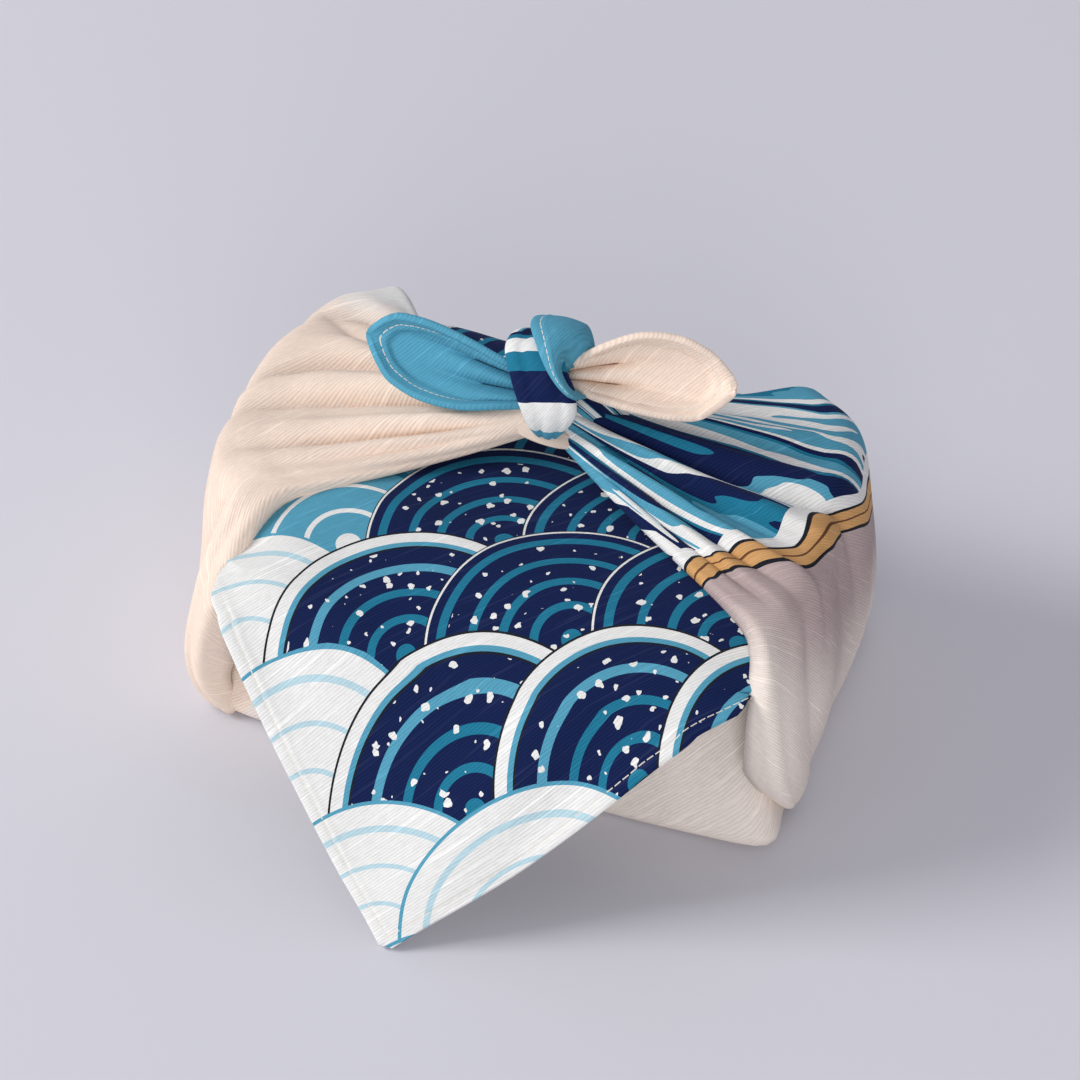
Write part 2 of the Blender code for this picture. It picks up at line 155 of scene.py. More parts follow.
def addSheet(grid, flat, weave, lift=None, puff=1.0):
    # A grid of points given a thickness: an upper side, a lower side and a narrow rim, closed.
    # The hem is thicker (puff times), rounds off to its edge and is pulled in along its seam.
    edge = edgeDistance(flat)
    hem = 1 - softStep(edge, cloth["hemWidth"], cloth["hemWidth"] + cloth["hemFade"])
    rounding = np.sqrt(1 - (1 - np.clip(edge / cloth["edgeRound"], 0, 1)) ** 2) * 0.85 + 0.15
    rounding = np.where(hem > 0, rounding, 1.0)
    seam = puff * cloth["seamDepth"] * np.exp(-((edge - cloth["stitchIn"]) / cloth["seamWidth"]) ** 2)
    half = cloth["thickness"] / 2
    extra = (cloth["hemThickness"] - cloth["thickness"]) * puff
    above = (half + extra * (0.25 * puff) * hem) * rounding - seam
    below = (half + extra * 0.75 * hem) * rounding - seam * 0.5
    normal = gridNormals(grid)
    if lift is not None:
        grid = grid + normal * lift[..., None]
        normal = gridNormals(grid)
    ring = np.concatenate([grid + normal * above[..., None], (grid - normal * below[..., None])[:, ::-1]], 1)
    count, sides = ring.shape[:2]
    index = np.arange(count * sides).reshape(count, sides)
    after = np.roll(index, -1, axis=1)
    corners = np.stack([index[:-1], index[1:], after[1:], after[:-1]], -1)
    top, bottom = index[:, : sides // 2], index[:, : sides // 2 - 1 : -1]
    first = np.stack([top[0, :-1], top[0, 1:], bottom[0, 1:], bottom[0, :-1]], -1)
    last = np.stack([bottom[-1, :-1], bottom[-1, 1:], top[-1, 1:], top[-1, :-1]], -1)
    keepSurface(ring, (corners, first, last), *(np.concatenate([m, m[:, ::-1]], 1) for m in (flat, weave)))


def addTube(rings, flat, weave, loop=False):
    # Rings of points joined in order. A loop joins its last ring to its first, and another tube's ends
    # close on a row of quads across the end ring.
    count, sides = rings.shape[:2]
    index = np.arange(count * sides).reshape(count, sides)
    following = np.roll(index, -1, axis=0) if loop else index[1:]
    near = index if loop else index[:-1]
    faces = [np.stack([near, following, np.roll(following, -1, axis=1), np.roll(near, -1, axis=1)], -1)]
    if not loop:
        row = np.arange(sides // 2 - 1)
        for end, order in ((index[0], 1), (index[-1], -1)):
            cap = np.stack([end[row], end[row + 1], end[sides - 2 - row], end[sides - 1 - row]], -1)
            faces.append(cap[:, ::order])
    keepSurface(rings, faces, flat, weave)


# Back corner: tip on the floor in front, over the top, down the back.
backCorner = {
    # y, z, left reach, right reach, curl of the two ends; one row is one line across the cloth
    "rows": [
        (-130, 0.9, 1.6, 1.6, 0), (-124.5, 6, 9, 9, 0), (-118.5, 12, 18, 18, 0),
        (-112, 18.2, 27, 27, 0), (-105.4, 25.2, 36, 36, 0), (-99.2, 33.2, 45, 45, 0),
        (-93, 42, 54, 54, 0), (-86.4, 51, 63, 63, 0), (-78.5, 58.6, 71.5, 72, 0.5),
        (-68.5, 65.2, 74.5, 79.5, 2), (-57, 69.8, 73, 79, 3), (-42, 72.4, 72, 78, 3),
        (-20, 73.6, 72, 78, 3), (10, 73.8, 72, 78, 3), (38, 74.4, 72, 76, 3),
        (54, 75, 72, 74, 3), (61.5, 66, 73, 73, 3), (61, 45, 75, 73, 3),
        (60.6, 25, 76, 73, 2.5), (60, 7, 77, 74, 2), (57.5, 1.4, 77, 74, 1),
    ],
    "fullWidthAt": 72,  # distance from the tip at which the flap reaches its full width
    "curlFrom": 0.72,     # share of the reach past which the two sides curl down
    # distances from the hem's edge of the grid lines beside it
    "hemSteps": [0, 0.2, 0.5, 0.9, 1.6, 2.4, 2.9, 3.3, 3.7, 4.3, 4.8, 5.4, 6.4, 7.8],
    "middleSteps": 52,
    "frontPitch": 1.5, "topPitch": 2.4, "backPitch": 3.4,
    "drape": 52,        # how far its sides hang down over the ends, under the gathered corners
    "drapeRadius": 5, "drapeSlant": 0.06,
    "drapeGrows": (84, 150), "drapeEnds": (172, 204),  # distances from the tip
    "ripple": 0.16, "rippleSize": 46,
    # soft hollows and ridges: x, distance from the tip, half length, half width, turn in degrees, height
    "dents": [
        (34, 40, 26, 8, 62, -1.7), (26, 58, 30, 11, 55, 1.5),
        (-52, 66, 18, 6, -38, -1.4), (-44, 84, 26, 6, -25, 1.3),
        (-60, 92, 22, 5, -20, -1.3), (-20, 96, 40, 9, -8, -1),
        (48, 96, 24, 7, 25, -1.2), (6, 22, 20, 9, 10, 0.9),
        (-30, 120, 26, 6, -12, 0.9), (12, 205, 60, 5, 4, -0.9),
        (-22, 236, 34, 9, 62, -1.6), (30, 240, 32, 9, 115, -1.5),
        (4, 250, 26, 8, 90, 1.3), (-74, 100, 17, 8, 90, -1.2),
    ],
}


def makeBackCorner():
    # Across: straight for the row's reach, then a quarter turn and a straight hang.
    # Along: the row table's line.
    dense = evenRows(backCorner["rows"], 1600)
    arc = lengthsAlong(dense[:, :2])
    full = backCorner["fullWidthAt"]
    edgeArc = np.interp(full, dense[:720, 2], arc[:720])
    places = np.concatenate([
        np.arange(0.4, edgeArc + 12, backCorner["frontPitch"]),
        np.arange(edgeArc + 13, arc[-1] - 62, backCorner["topPitch"]),
        np.arange(arc[-1] - 60, arc[-1] - 1, backCorner["backPitch"]), [arc[-1]],
    ])
    rows = np.stack([np.interp(places, arc, dense[:, k]) for k in range(5)], 1)
    fromTip = np.where(places < edgeArc, rows[:, 2], full + places - edgeArc)
    path = np.column_stack([np.zeros(len(rows)), rows[:, :2]])
    ahead = unit(np.gradient(path, axis=0))
    up = np.column_stack([np.zeros(len(rows)), -ahead[:, 2], ahead[:, 1]])
    drape = backCorner["drape"] * softStep(fromTip, *backCorner["drapeGrows"])
    drape = drape * (1 - softStep(fromTip, *backCorner["drapeEnds"]))
    radius = backCorner["drapeRadius"]

    hemSteps = np.array(backCorner["hemSteps"]) * 2 ** 0.5
    inner = np.linspace(0, 1, backCorner["middleSteps"] // 2 + 1)[1:]
    sides = []
    for reach in (rows[:, 2], rows[:, 3]):
        widest = np.minimum(fromTip, reach + np.where(drape > 1, radius * 1.57 + drape, 2.0))
        widest = np.where(fromTip < full + 0.5, fromTip, widest)
        squeeze = np.clip(widest / 26, 0, 1)[:, None]
        edge = widest[:, None] - hemSteps * squeeze
        middle = edge[:, -1:] * (1 - inner)
        sides.append(np.concatenate([edge, middle], 1))
    across = np.concatenate([-sides[0], sides[1][:, -2::-1]], 1)
    reach = np.where(across < 0, rows[:, 2:3], rows[:, 3:4])
    x, hang = overEdge(across, reach, radius, backCorner["drapeSlant"])
    curlFrom = backCorner["curlFrom"]
    bend = np.clip((np.minimum(np.abs(across) / reach, 1) - curlFrom) / (1 - curlFrom), 0, 1) ** 2
    down = rows[:, 4:5] * bend + hang * (fromTip[:, None] >= full + 1)
    grid = path[:, None] - up[:, None] * down[..., None]
    grid[..., 0] = x

    lift = backCorner["ripple"] * ripple(across, fromTip[:, None], backCorner["rippleSize"], 5)
    lift = lift * softStep(fromTip, 8, 50)[:, None]
    for cx, cs, longHalf, wideHalf, angle, height in backCorner["dents"]:
        c, s = np.cos(np.radians(angle)), np.sin(np.radians(angle))
        along = ((across - cx) * c + (fromTip[:, None] - cs) * s) / longHalf
        wide = (-(across - cx) * s + (fromTip[:, None] - cs) * c) / wideHalf
        lift = lift + height * np.exp(-along ** 2 - wide ** 2)
    flat = np.stack([across, np.broadcast_to(cornerReach - fromTip[:, None], across.shape)], -1)
    addSheet(*(m[:, ::-1] for m in (grid, flat, flat, lift)))


makeBackCorner()
print("back corner made")

# Floor and standing walls: the middle of the cloth, turned up all round.
tray = {
    # height, half length, half width, middle x, middle y, squareness, of each level outline
    "levels": [
        (0.05, 83.5, 52.5, -2, 0, 7), (0.5, 86.6, 55.6, -2, -0.6, 8),
        (2.2, 88.6, 57.6, -2, -1, 9), (6, 89.6, 59.1, -2, -1, 11),
        (14, 88, 58, -2.5, -0.5, 11), (30, 86.5, 56.5, -3, -0.5, 10),
        (50, 85, 55, -3.5, -0.5, 8), (65, 82, 53.5, -3.5, -0.5, 7),
    ],
    "turnsUp": ((52, 84), (40, 54)),  # along X and along Y, where the print goes from floor to wall
    # hollows and ridges of the front wall: x, z, half width, half height, how far out
    "dents": [(56, 14, 22, 16, 1.4), (14, 16, 18, 12, -1.3)],
    # the slanted fold into the pouch: x, z, slant along x and z, half width, its middle's z, half length,
    # depth
    "fold": (70, 34, 0.8, 0.6, 7, 32, 13, -1.6),
    # the pouch at the front right corner: its middle, its half sizes, and how far it stands out along x and y
    "pouch": ((86, -57, 7), (11, 10, 15), (5.2, -2.4)),
    "ripple": 0.4, "rippleSize": 46,
    "around": 200, "floorRings": 7, "wallRings": 22,
}


def makeTray():
    # A level superellipse at each height. The floor rings shrink to the middle, and the inner side is one
    # layer in.
    angles = np.linspace(-np.pi / 2, 1.5 * np.pi, tray["around"], endpoint=False)
    levels = evenRows(tray["levels"], tray["wallRings"])

    def outline(row, scale, inward):
        height, halfLong, halfWide, cx, cy, square = row
        a, b = np.cos(angles) / (halfLong - inward), np.sin(angles) / (halfWide - inward)
        reach = (np.abs(a) ** square + np.abs(b) ** square) ** (-1 / square) * scale
        return np.stack([reach * np.cos(angles) + cx, reach * np.sin(angles) + cy,
                         np.full(len(angles), height)], 1)

    floorScales = np.linspace(0.02, 0.97, tray["floorRings"])
    outer = [outline(levels[0], s, 0) for s in floorScales] + [outline(row, 1, 0) for row in levels]
    thick = cloth["thickness"]
    inner = [outline(row, 1, thick) + [0, 0, thick * (1 if row[0] < 1.5 else 0)] for row in levels]
    inner = [outline(levels[0], s, thick) + [0, 0, thick] for s in floorScales] + inner
    rings = np.stack(outer + inner[::-1])
    rise = np.array([0.0] * len(floorScales) + list(levels[:, 0]))
    flatRings = []
    for ring, height in zip(outer, rise):
        out = [np.sign(part) * softStep(np.abs(part), *reach) for part, reach in zip(ring.T, tray["turnsUp"])]
        flatRings.append(ring[:, :2] + np.stack(out, 1) * max(height - 0.8, 0))
    flat = np.stack(flatRings + flatRings[::-1])
    x, y, z = rings[..., 0], rings[..., 1], rings[..., 2]
    foldX, foldZ, slantX, slantZ, halfWide, middleZ, halfLong, depth = tray["fold"]
    offFold = ((x - foldX) * slantX + (z - foldZ) * slantZ) / halfWide
    dent = depth * np.exp(-offFold ** 2 - ((z - middleZ) / halfLong) ** 2)
    for atX, atZ, halfX, halfZ, height in tray["dents"]:
        dent = dent + height * np.exp(-((x - atX) / halfX) ** 2 - ((z - atZ) / halfZ) ** 2)
    dent = dent + tray["ripple"] * ripple(x, z * 1.5, tray["rippleSize"], 11)
    rings[..., 1] -= dent * softStep(z, 1.5, 8) * (y < -40)
    middle, half, out = tray["pouch"]
    pouch = np.exp(-(((rings - middle) / half) ** 2).sum(-1)) * softStep(z, 0.4, 3)
    rings[..., :2] += pouch[..., None] * out
    # on the walls the weave runs on round the wrap: the length from the middle of the front, and the height
    girth = outline(levels[-1], 1, 0)
    steps = np.linalg.norm(np.roll(girth, -1, axis=0) - girth, axis=1)
    length = np.cumsum(steps) - steps
    length = np.where(length > steps.sum() / 2, length - steps.sum(), length)
    wallPlaces = np.stack([np.broadcast_to(length, z.shape), -57.0 - z], -1)
    weave = np.where((z > 0.9)[..., None], wallPlaces, flat)
    addTube(rings[:, ::-1], flat[:, ::-1], weave[:, ::-1])


makeTray()
print("floor and walls made")

# Front corner: from the front wall over the top, under the back corner, and down inside the back.
frontCorner = {
    # y, z, half width
    "rows": [
        (-54, 58, 76), (-50, 63.5, 72), (-41, 67.4, 68), (-20, 70.2, 67),
        (10, 71.4, 68),
        (38, 70.8, 72), (49, 68.5, 72), (52.6, 61, 66), (52.6, 40, 56), (52.4, 12, 44),
        (50, 3, 40), (44, 1.9, 36), (10, 1.8, 2),
    ],
    "drape": 54, "radius": 4, "slant": 0.04,
    "drapeGrows": (8, 26), "drapeEnds": (96, 116),  # lengths from its first row
    "flatStart": -119,                            # the first row's place on the flat cloth
    "steps": (40, 36),
}


def makeFrontCorner():
    # The same line and quarter turn as the back corner's, one layer further in.
    along, across = frontCorner["steps"]
    rows = evenRows(frontCorner["rows"], along)
    path = np.column_stack([np.zeros(along), rows[:, :2]])
    ahead = unit(np.gradient(path, axis=0))
    up = np.column_stack([np.zeros(along), -ahead[:, 2], ahead[:, 1]])
    arc = lengthsAlong(path)
    drape = frontCorner["drape"] * softStep(arc, *frontCorner["drapeGrows"])
    drape = drape * (1 - softStep(arc, *frontCorner["drapeEnds"]))
    radius = frontCorner["radius"]
    widest = rows[:, 2] + np.minimum(drape * 10, radius * 1.57) + drape
    q = widest[:, None] * np.linspace(-1, 1, across)
    x, down = overEdge(q, rows[:, 2:3], radius, frontCorner["slant"])
    grid = path[:, None] - up[:, None] * down[..., None]
    grid[..., 0] = x
    flat = np.stack([q, frontCorner["flatStart"] - arc[:, None] + 0 * q], -1)
    addSheet(grid[:, ::-1], flat[:, ::-1], flat[:, ::-1])


makeFrontCorner()
print("front corner made")

# Left and right corners, gathered over the ends into the knot.
leftPanel = {
    # mouth angle, then shoulder, hip, waist and foot (x, y, z); one row is one line of the fan, front to back
    "rows": [
        (-30, -73, -40, 75, -78, -69.5, 63, -91, -65, 22, -82, -58, 2),
        (0, -84, -38, 76, -86.5, -54, 63, -94, -59, 22, -88, -53, 1.5),
        (40, -97, -22, 76.5, -95.5, -26, 60, -97.5, -29, 25, -89, -28, 1.5),
        (75, -99.5, 3, 79, -98, 3, 60, -98.5, 3, 25, -89, 2, 1.5),
        (105, -97.5, 28, 81, -96, 30, 60, -97.5, 30, 25, -89, 30, 1.5),
        (135, -90, 51, 81, -90.5, 54, 60, -92.5, 55, 25, -86.5, 51, 1.5),
        (165, -77, 61.5, 81.5, -78, 64, 60, -79, 64, 25, -76, 56.5, 3),
    ],
    "mouth": (-8, 9.5, 86, 7.6, 6),  # x, y, z, radius across, radius up
    "side": -1, "steps": (96, 88),
    "backSag": np.array([0, -7, -1.5]),
    # place across at the knot and at the foot (0 front, 1 back), width, height, start, end, lap
    "folds": [
        (0.13, 0.10, 0.045, 1, 0.08, 0.50, 0), (0.20, 0.17, 0.026, -1.8, 0.06, 0.42, 0),
        (0.24, 0.21, 0.045, 2, 0.04, 0.46, 0), (0.295, 0.26, 0.028, -5, 0.02, 0.50, 0),
        (0.38, 0.30, 0.055, 2.6, 0.04, 0.46, 1), (0.52, 0.32, 0.032, -6.8, 0.03, 0.57, 0),
        (0.60, 0.38, 0.055, 2.8, 0.06, 0.46, 1), (0.74, 0.30, 0.032, -6, 0.10, 0.58, 0),
        (0.82, 0.44, 0.050, 2.6, 0.10, 0.44, 1), (1.06, 0.42, 0.036, -6, 0.16, 0.56, 0),
        (1.10, 0.56, 0.070, 2, 0.24, 0.50, 0), (0.68, 0.86, 0.030, -2.8, 0.12, 0.52, 0),
        (0.86, 0.90, 0.040, 1.4, 0.10, 0.44, 0), (0.05, 0.09, 0.040, 2, 0.64, 0.98, 0),
        (0.15, 0.19, 0.032, -4.2, 0.58, 0.98, 0), (0.25, 0.28, 0.050, 1.8, 0.60, 0.96, 0),
        (0.36, 0.46, 0.060, -2.6, 0.60, 0.97, 0), (0.60, 0.74, 0.090, -2.2, 0.62, 0.98, 0),
        (0.80, 0.84, 0.080, 1.6, 0.62, 0.96, 0),
    ],
    "ripple": 0.30,
}
rightPanel = {
    "rows": [
        (-30, 80, -46, 75, 91, -66, 66, 92.5, -60, 28, 90, -40, 5),
        (0, 85, -36, 75.5, 93, -50, 60, 95.5, -48, 27, 89.5, -32, 2.5),
        (35, 86, -18, 76, 91, -22, 60, 94.5, -23, 26, 85.5, -22, 1.5),
        (65, 86, 4, 77.5, 90, 4, 60, 93.5, 4, 26, 85.5, 3, 1.5),
        (95, 84.5, 26, 79, 88.5, 28, 60, 92, 28, 26, 85.5, 29, 1.5),
        (125, 78, 46, 80.5, 84, 50, 60, 87.5, 52, 26, 83, 50, 1.5),
        (150, 64, 57, 80.5, 70, 63, 60, 74, 63, 26, 72, 56.5, 3),
    ],
    "mouth": (-5, 12.5, 88.4, 7, 5.8),
    "side": 1, "steps": (104, 88),
    "backSag": np.array([0, -3, -1]),
    "folds": [
        (0.10, 0.10, 0.022, -1.5, 0.06, 0.46, 0), (0.15, 0.15, 0.030, 1.8, 0.04, 0.50, -1),
        (0.21, 0.22, 0.022, -2.2, 0.04, 0.54, 0), (0.27, 0.30, 0.036, 2.8, 0.03, 0.74, 1),
        (0.34, 0.40, 0.022, -2.4, 0.04, 0.52, 0), (0.40, 0.46, 0.034, 3, 0.04, 0.60, -1),
        (0.46, 0.58, 0.026, -4.2, 0.03, 0.78, 0), (0.55, 0.66, 0.042, 2.6, 0.06, 0.62, 1),
        (0.64, 0.72, 0.026, -2, 0.07, 0.52, 0), (0.72, 0.78, 0.040, 1.7, 0.08, 0.54, 1),
        (0.82, 0.86, 0.028, -1.6, 0.09, 0.50, 0), (0.22, 0.24, 0.05, -2, 0.56, 0.97, 0),
        (0.32, 0.34, 0.060, 1.6, 0.56, 0.96, 0), (0.44, 0.47, 0.060, -1.6, 0.60, 0.95, 0),
        (0.62, 0.66, 0.07, 1.3, 0.62, 0.96, 0), (0.76, 0.80, 0.07, -1.4, 0.64, 0.96, 0),
    ],
    "ripple": 0.30,
}
# place along the fan (0 knot, 1 foot), radius of the turned edge, straight run after it
edgeTurns = [
    (0, 1.2, 0), (0.3, 1.5, 1.6), (0.45, 1.8, 3.4), (0.7, 3, 4), (0.85, 3.6, 8), (1, 2.5, 3),
]
panelPrint = {
    # how a panel takes up the flat corner's print
    "footAt": 88,           # the foot's distance from the square's middle
    "length": 150,          # of the print from foot to knot, with the rest lost in the gathers
    "gatheredFrom": 0.6,
    "widths": ([0, 0.45, 1], [120, 170, 122]),  # places from the knot to the foot, and the width there
}


def makePanel(panel):
    # B-spline lines from the knot over the shoulder to the foot, joined across by Catmull-Rom, with folds
    # raised along the normals and the two long edges turned in to the layer below.
    mouthX, mouthY, mouthZ, radiusAcross, radiusUp = panel["mouth"]
    side = panel["side"]
    lines = []
    for angle, *ends in panel["rows"]:
        turn = np.radians(angle)
        start = np.array([mouthX, mouthY - radiusAcross * np.cos(turn), mouthZ + radiusUp * np.sin(turn)])
        shoulder, hip, waist, foot = np.array(ends, float).reshape(4, 3)
        over = shoulder - start
        sag = np.array([0, 0, -1.0])
        back = panel["backSag"] * softStep(angle, 100, 165)
        lines.append([
            start, start + over * 0.15 + sag, start + over * 0.45 + sag * 2 + back,
            start + over * 0.75 + sag * 0.5 + back, shoulder - unit(over) * 10.0,
            shoulder + unit(over) * 1.5 + [0, 0, 1.5], hip, waist,
            waist * 0.35 + foot * 0.65 + [side * 1.5, 0, 0], foot,
        ])
    across, along = panel["steps"]
    places = np.linspace(0, 1, across)
    lines = throughRows(lines, places * (len(lines) - 1))
    fine = nearPoints(np.moveaxis(lines, 1, 0), np.linspace(0, 1, 400))  # 400, across, 3
    arc = lengthsAlong(fine[:, across // 2])
    share = np.interp(np.linspace(0, 1, along) ** 1.08, arc / arc[-1], np.linspace(0, 1, 400))
    grid = nearPoints(np.moveaxis(lines, 1, 0), share).transpose(1, 0, 2)
    lift = np.zeros(grid.shape[:2])
    for atKnot, atFoot, width, height, start, end, lap in panel["folds"]:
        centre = atKnot + (atFoot - atKnot) * share
        d = (places[:, None] - centre) / width
        if lap:
            d = np.where(d * lap > 0, d * 2.6, d * 0.62)
        # ridges are round, and troughs come to a soft line
        shape = np.exp(-d ** 2) if height > 0 else np.exp(1.5 * (0.3 - np.sqrt(d ** 2 + 0.09)))
        fade = softStep(share, start - 0.1, start + 0.12) * (1 - softStep(share, end - 0.34, end + 0.12))
        lift = lift + height * shape * fade
    lift = lift + panel["ripple"] * ripple(places[:, None] * 150, share * 170, 34, 21 + side)
    lift = lift * softStep(share, 0.0, 0.12) * (1 - softStep(share, 0.97, 1.0))
    lift = lift * (softStep(places, 0, 0.07) * softStep(1 - places, 0, 0.05))[:, None]
    if side > 0:
        grid, lift, places = grid[::-1], lift[::-1], places[::-1]
    # real lengths along and across, for the weave
    lengthAlong = lengthsAlong(grid, axis=1)
    lengthAcross = lengthsAlong(grid)
    lengthAcross = lengthAcross - lengthAcross[across // 2]
    grid = grid + gridNormals(grid) * lift[..., None]
    fromMiddle = np.broadcast_to(np.mean(lengthAlong[:, -1]) - lengthAlong, grid.shape[:2])
    length = np.max(fromMiddle)
    lost = (length - panelPrint["length"]) * softStep(fromMiddle / length, panelPrint["gatheredFrom"], 1.0)
    u = side * (panelPrint["footAt"] + fromMiddle)
    v = (places[:, None] - 0.5) * np.interp(share, *panelPrint["widths"])
    flat = np.stack([u - side * lost, v], -1)
    weave = np.stack([u, -side * lengthAcross], -1)
    # turned edges
    normal = gridNormals(grid)
    place, radius, run = np.array(edgeTurns).T
    radius, run = (np.interp(share, place, values)[:, None] for values in (radius, run))
    bends = [(np.radians(degrees), 0.0) for degrees in (18, 36, 54, 72, 90)]
    bends += [(np.pi / 2, 0.5), (np.pi / 2, 1.0)]  # the quarter turn, then the straight run
    turnedIn = []
    for edge, inside in ((0, 1), (-1, -2)):
        away = evenedOut(normal[edge])
        out = evenedOut(grid[edge] - grid[inside])
        out = unit(out - away * (out * away).sum(1, keepdims=True))
        outer = [np.sign(m[edge, :, 1:]) * np.array([0, 1.0]) for m in (flat, weave)]
        strips = ([], [], [])
        for turn, down in bends:
            fall = radius * (1 - np.cos(turn)) + run * down
            strips[0].append(grid[edge] + radius * np.sin(turn) * out - fall * away)
            for strip, m, way in zip(strips[1:], (flat, weave), outer):
                strip.append(m[edge] + way * (radius * turn + run * down))
        turnedIn.append([np.array(strip if edge else strip[::-1]) for strip in strips])
    addSheet(*(np.concatenate(parts) for parts in zip(turnedIn[0], (grid, flat, weave), turnedIn[1])))


makePanel(leftPanel)
makePanel(rightPanel)
print("side panels made")

# Knot: two gathered strands, the band round them, the lobe over its top, and two ears.
knotMiddle = np.array([-4.0, 12.0, 95.0])
strands = {
    # x, y, z, half width, half thickness; the flat cloth's u at the two ends
    "leftStrand": ([(-24, 6, 81.5, 7.5, 4.5), (-15, 9, 85, 8, 7), (-4, 12, 91, 9.5, 9),
                    (3, 14.5, 94, 6.5, 6), (6, 15.5, 95, 3.5, 3)], (-232, -262)),
    "rightStrand": ([(20, 11, 81.5, 7.5, 4.5), (10, 13.5, 85.5, 8, 7), (0, 15, 91, 9.5, 9),
                     (-8, 13.5, 93, 6.5, 6), (-12, 12.5, 93.5, 4, 3.5)], (222, 238)),
    "heart": ([(-10, 12, 96, 6.5, 6.5), (-5, 12.5, 96.5, 10.5, 10.5), (-1, 14, 97, 9, 9),
               (5, 15, 98, 4.5, 4.5)], (280, 300)),
    "underStrand": ([(-14, 6, 85.6, 2.8, 2.4), (-9, 2.4, 86.4, 3.6, 2.8), (1, 1.2, 85.8, 3.8, 3),
                     (7, 2.4, 85, 3.2, 2.4), (11, 7, 84.6, 2.4, 2)], (-236, -262)),
    "gathers": (8, 0.05),  # round each strand, and their depth as a share of its size
    "flatHalf": 58,
    "steps": (20, 24),
}
band = {
    # angle from the back over the top, left and right edge along X, reach from the knot's middle
    "rows": [
        (0, -8, 7.5, 13), (40, -11, 8, 15), (80, -13, 7, 17),
        (110, -12.6, 6, 17.6), (140, -8.6, 11, 17.4), (170, -4.8, 12.4, 17),
        (195, -2.6, 9.4, 16.6), (215, -1.2, 6.6, 16), (250, -1, 5.5, 14.5),
        (300, -4, 6, 13),
    ],
    "thickness": 6, "steps": (120, 40),
    "flatStart": 222, "flatRadius": 16, "flatSlant": 0.25, "flatStretch": 1.2,
    # creases along the loop: place across, sway and its start in degrees, half width, depth
    "creases": [(-0.25, -0.20, 0, 0.10, 0.9), (0.45, -0.15, 90, 0.09, 0.7)],
}
lobe = {
    # hemmed edge (x, angle) and outer edge (x, angle), from the back down to the point
    "hem": [(-8, 36), (-8.6, 60), (-7.4, 84), (-3, 106), (2.2, 126), (7.4, 140), (12.6, 149)],
    "outer": [(3, 16), (8.5, 36), (11.6, 62), (11.2, 84), (6.8, 100), (5.8, 118), (8.4, 134), (13, 148)],
    "reach": 18.2, "puff": 2.6, "steps": (56, 34),
    "tuck": 8, "pointTuck": 3,  # how far the outer edge and the point go in
    "flatStart": 290, "flatStretch": 0.8,
}
ears = {
    # x, y, z of the middle line, half width, cup (how far the rims stand forward), from the knot to the tip
    "left": [(-7, 8.5, 95.8, 5.4, 2), (-16, 6, 97, 7, 4.4), (-28, 5.5, 98, 10.2, 5.6),
             (-40, 7, 98.6, 11.4, 6), (-49, 8.4, 99.4, 10.4, 5.6), (-56, 9.8, 100, 8.2, 4.6),
             (-61.8, 10.8, 100.4, 6.2, 3.6)],
    "right": [(-3, 9.5, 100.6, 2.6, 1.6), (4, 10, 103.4, 4.6, 2.8), (12, 11, 105.4, 8.2, 4.6),
              (22, 12.6, 107, 11.2, 6), (33, 14.5, 106.4, 11.9, 6), (41, 15.5, 105.2, 10.2, 5.4),
              (46, 16, 105.2, 7.8, 4.6), (50.6, 16, 105.6, 5.6, 3.6)],
    "tilt": 60, "steps": (64, 24), "bend": 1.15,
    "tipLength": 0.20,        # share of the length that rounds off
    "tipRound": (1.35, 1.8),  # and its power, for each ear
    # place across (-1 lower rim, 1 upper rim), width, depth, reach along from the root
    "pleats": [
        (-0.72, 0.12, -1.2, 0.55), (-0.46, 0.15, 1.3, 0.60), (-0.18, 0.10, -2.6, 0.76),
        (0.10, 0.15, 1.6, 0.66), (0.36, 0.09, -2.7, 0.88), (0.60, 0.13, 1.3, 0.70), (0.80, 0.09, -1.2, 0.80),
    ],
}


def makeStrand(rows, ends):
    # A flattened tube along a B-spline line, with shallow gathers round it.
    along, around = strands["steps"]
    rows = nearPoints(rows, np.linspace(0, 1, along))
    path, halfWide, halfThick = rows[:, :3], rows[:, 3], rows[:, 4]
    step = unit(np.gradient(path, axis=0))
    wide = unit(np.cross(step, np.array([0, -0.5, 1.0])))
    thick = np.cross(wide, step)
    turn = np.linspace(0, 2 * np.pi, around, endpoint=False)
    count, depth = strands["gathers"]
    gather = 1 + depth * np.cos(count * turn)
    rings = (path[:, None] + wide[:, None] * (halfWide[:, None] * np.cos(turn) * gather)[..., None]
             + thick[:, None] * (halfThick[:, None] * np.sin(turn) * gather)[..., None])
    u = np.linspace(ends[0], ends[1], along)[:, None] + 0 * turn
    v = strands["flatHalf"] * np.cos(turn) + 0 * u
    flat = np.stack([u, v], -1)
    addTube(rings, flat, flat)


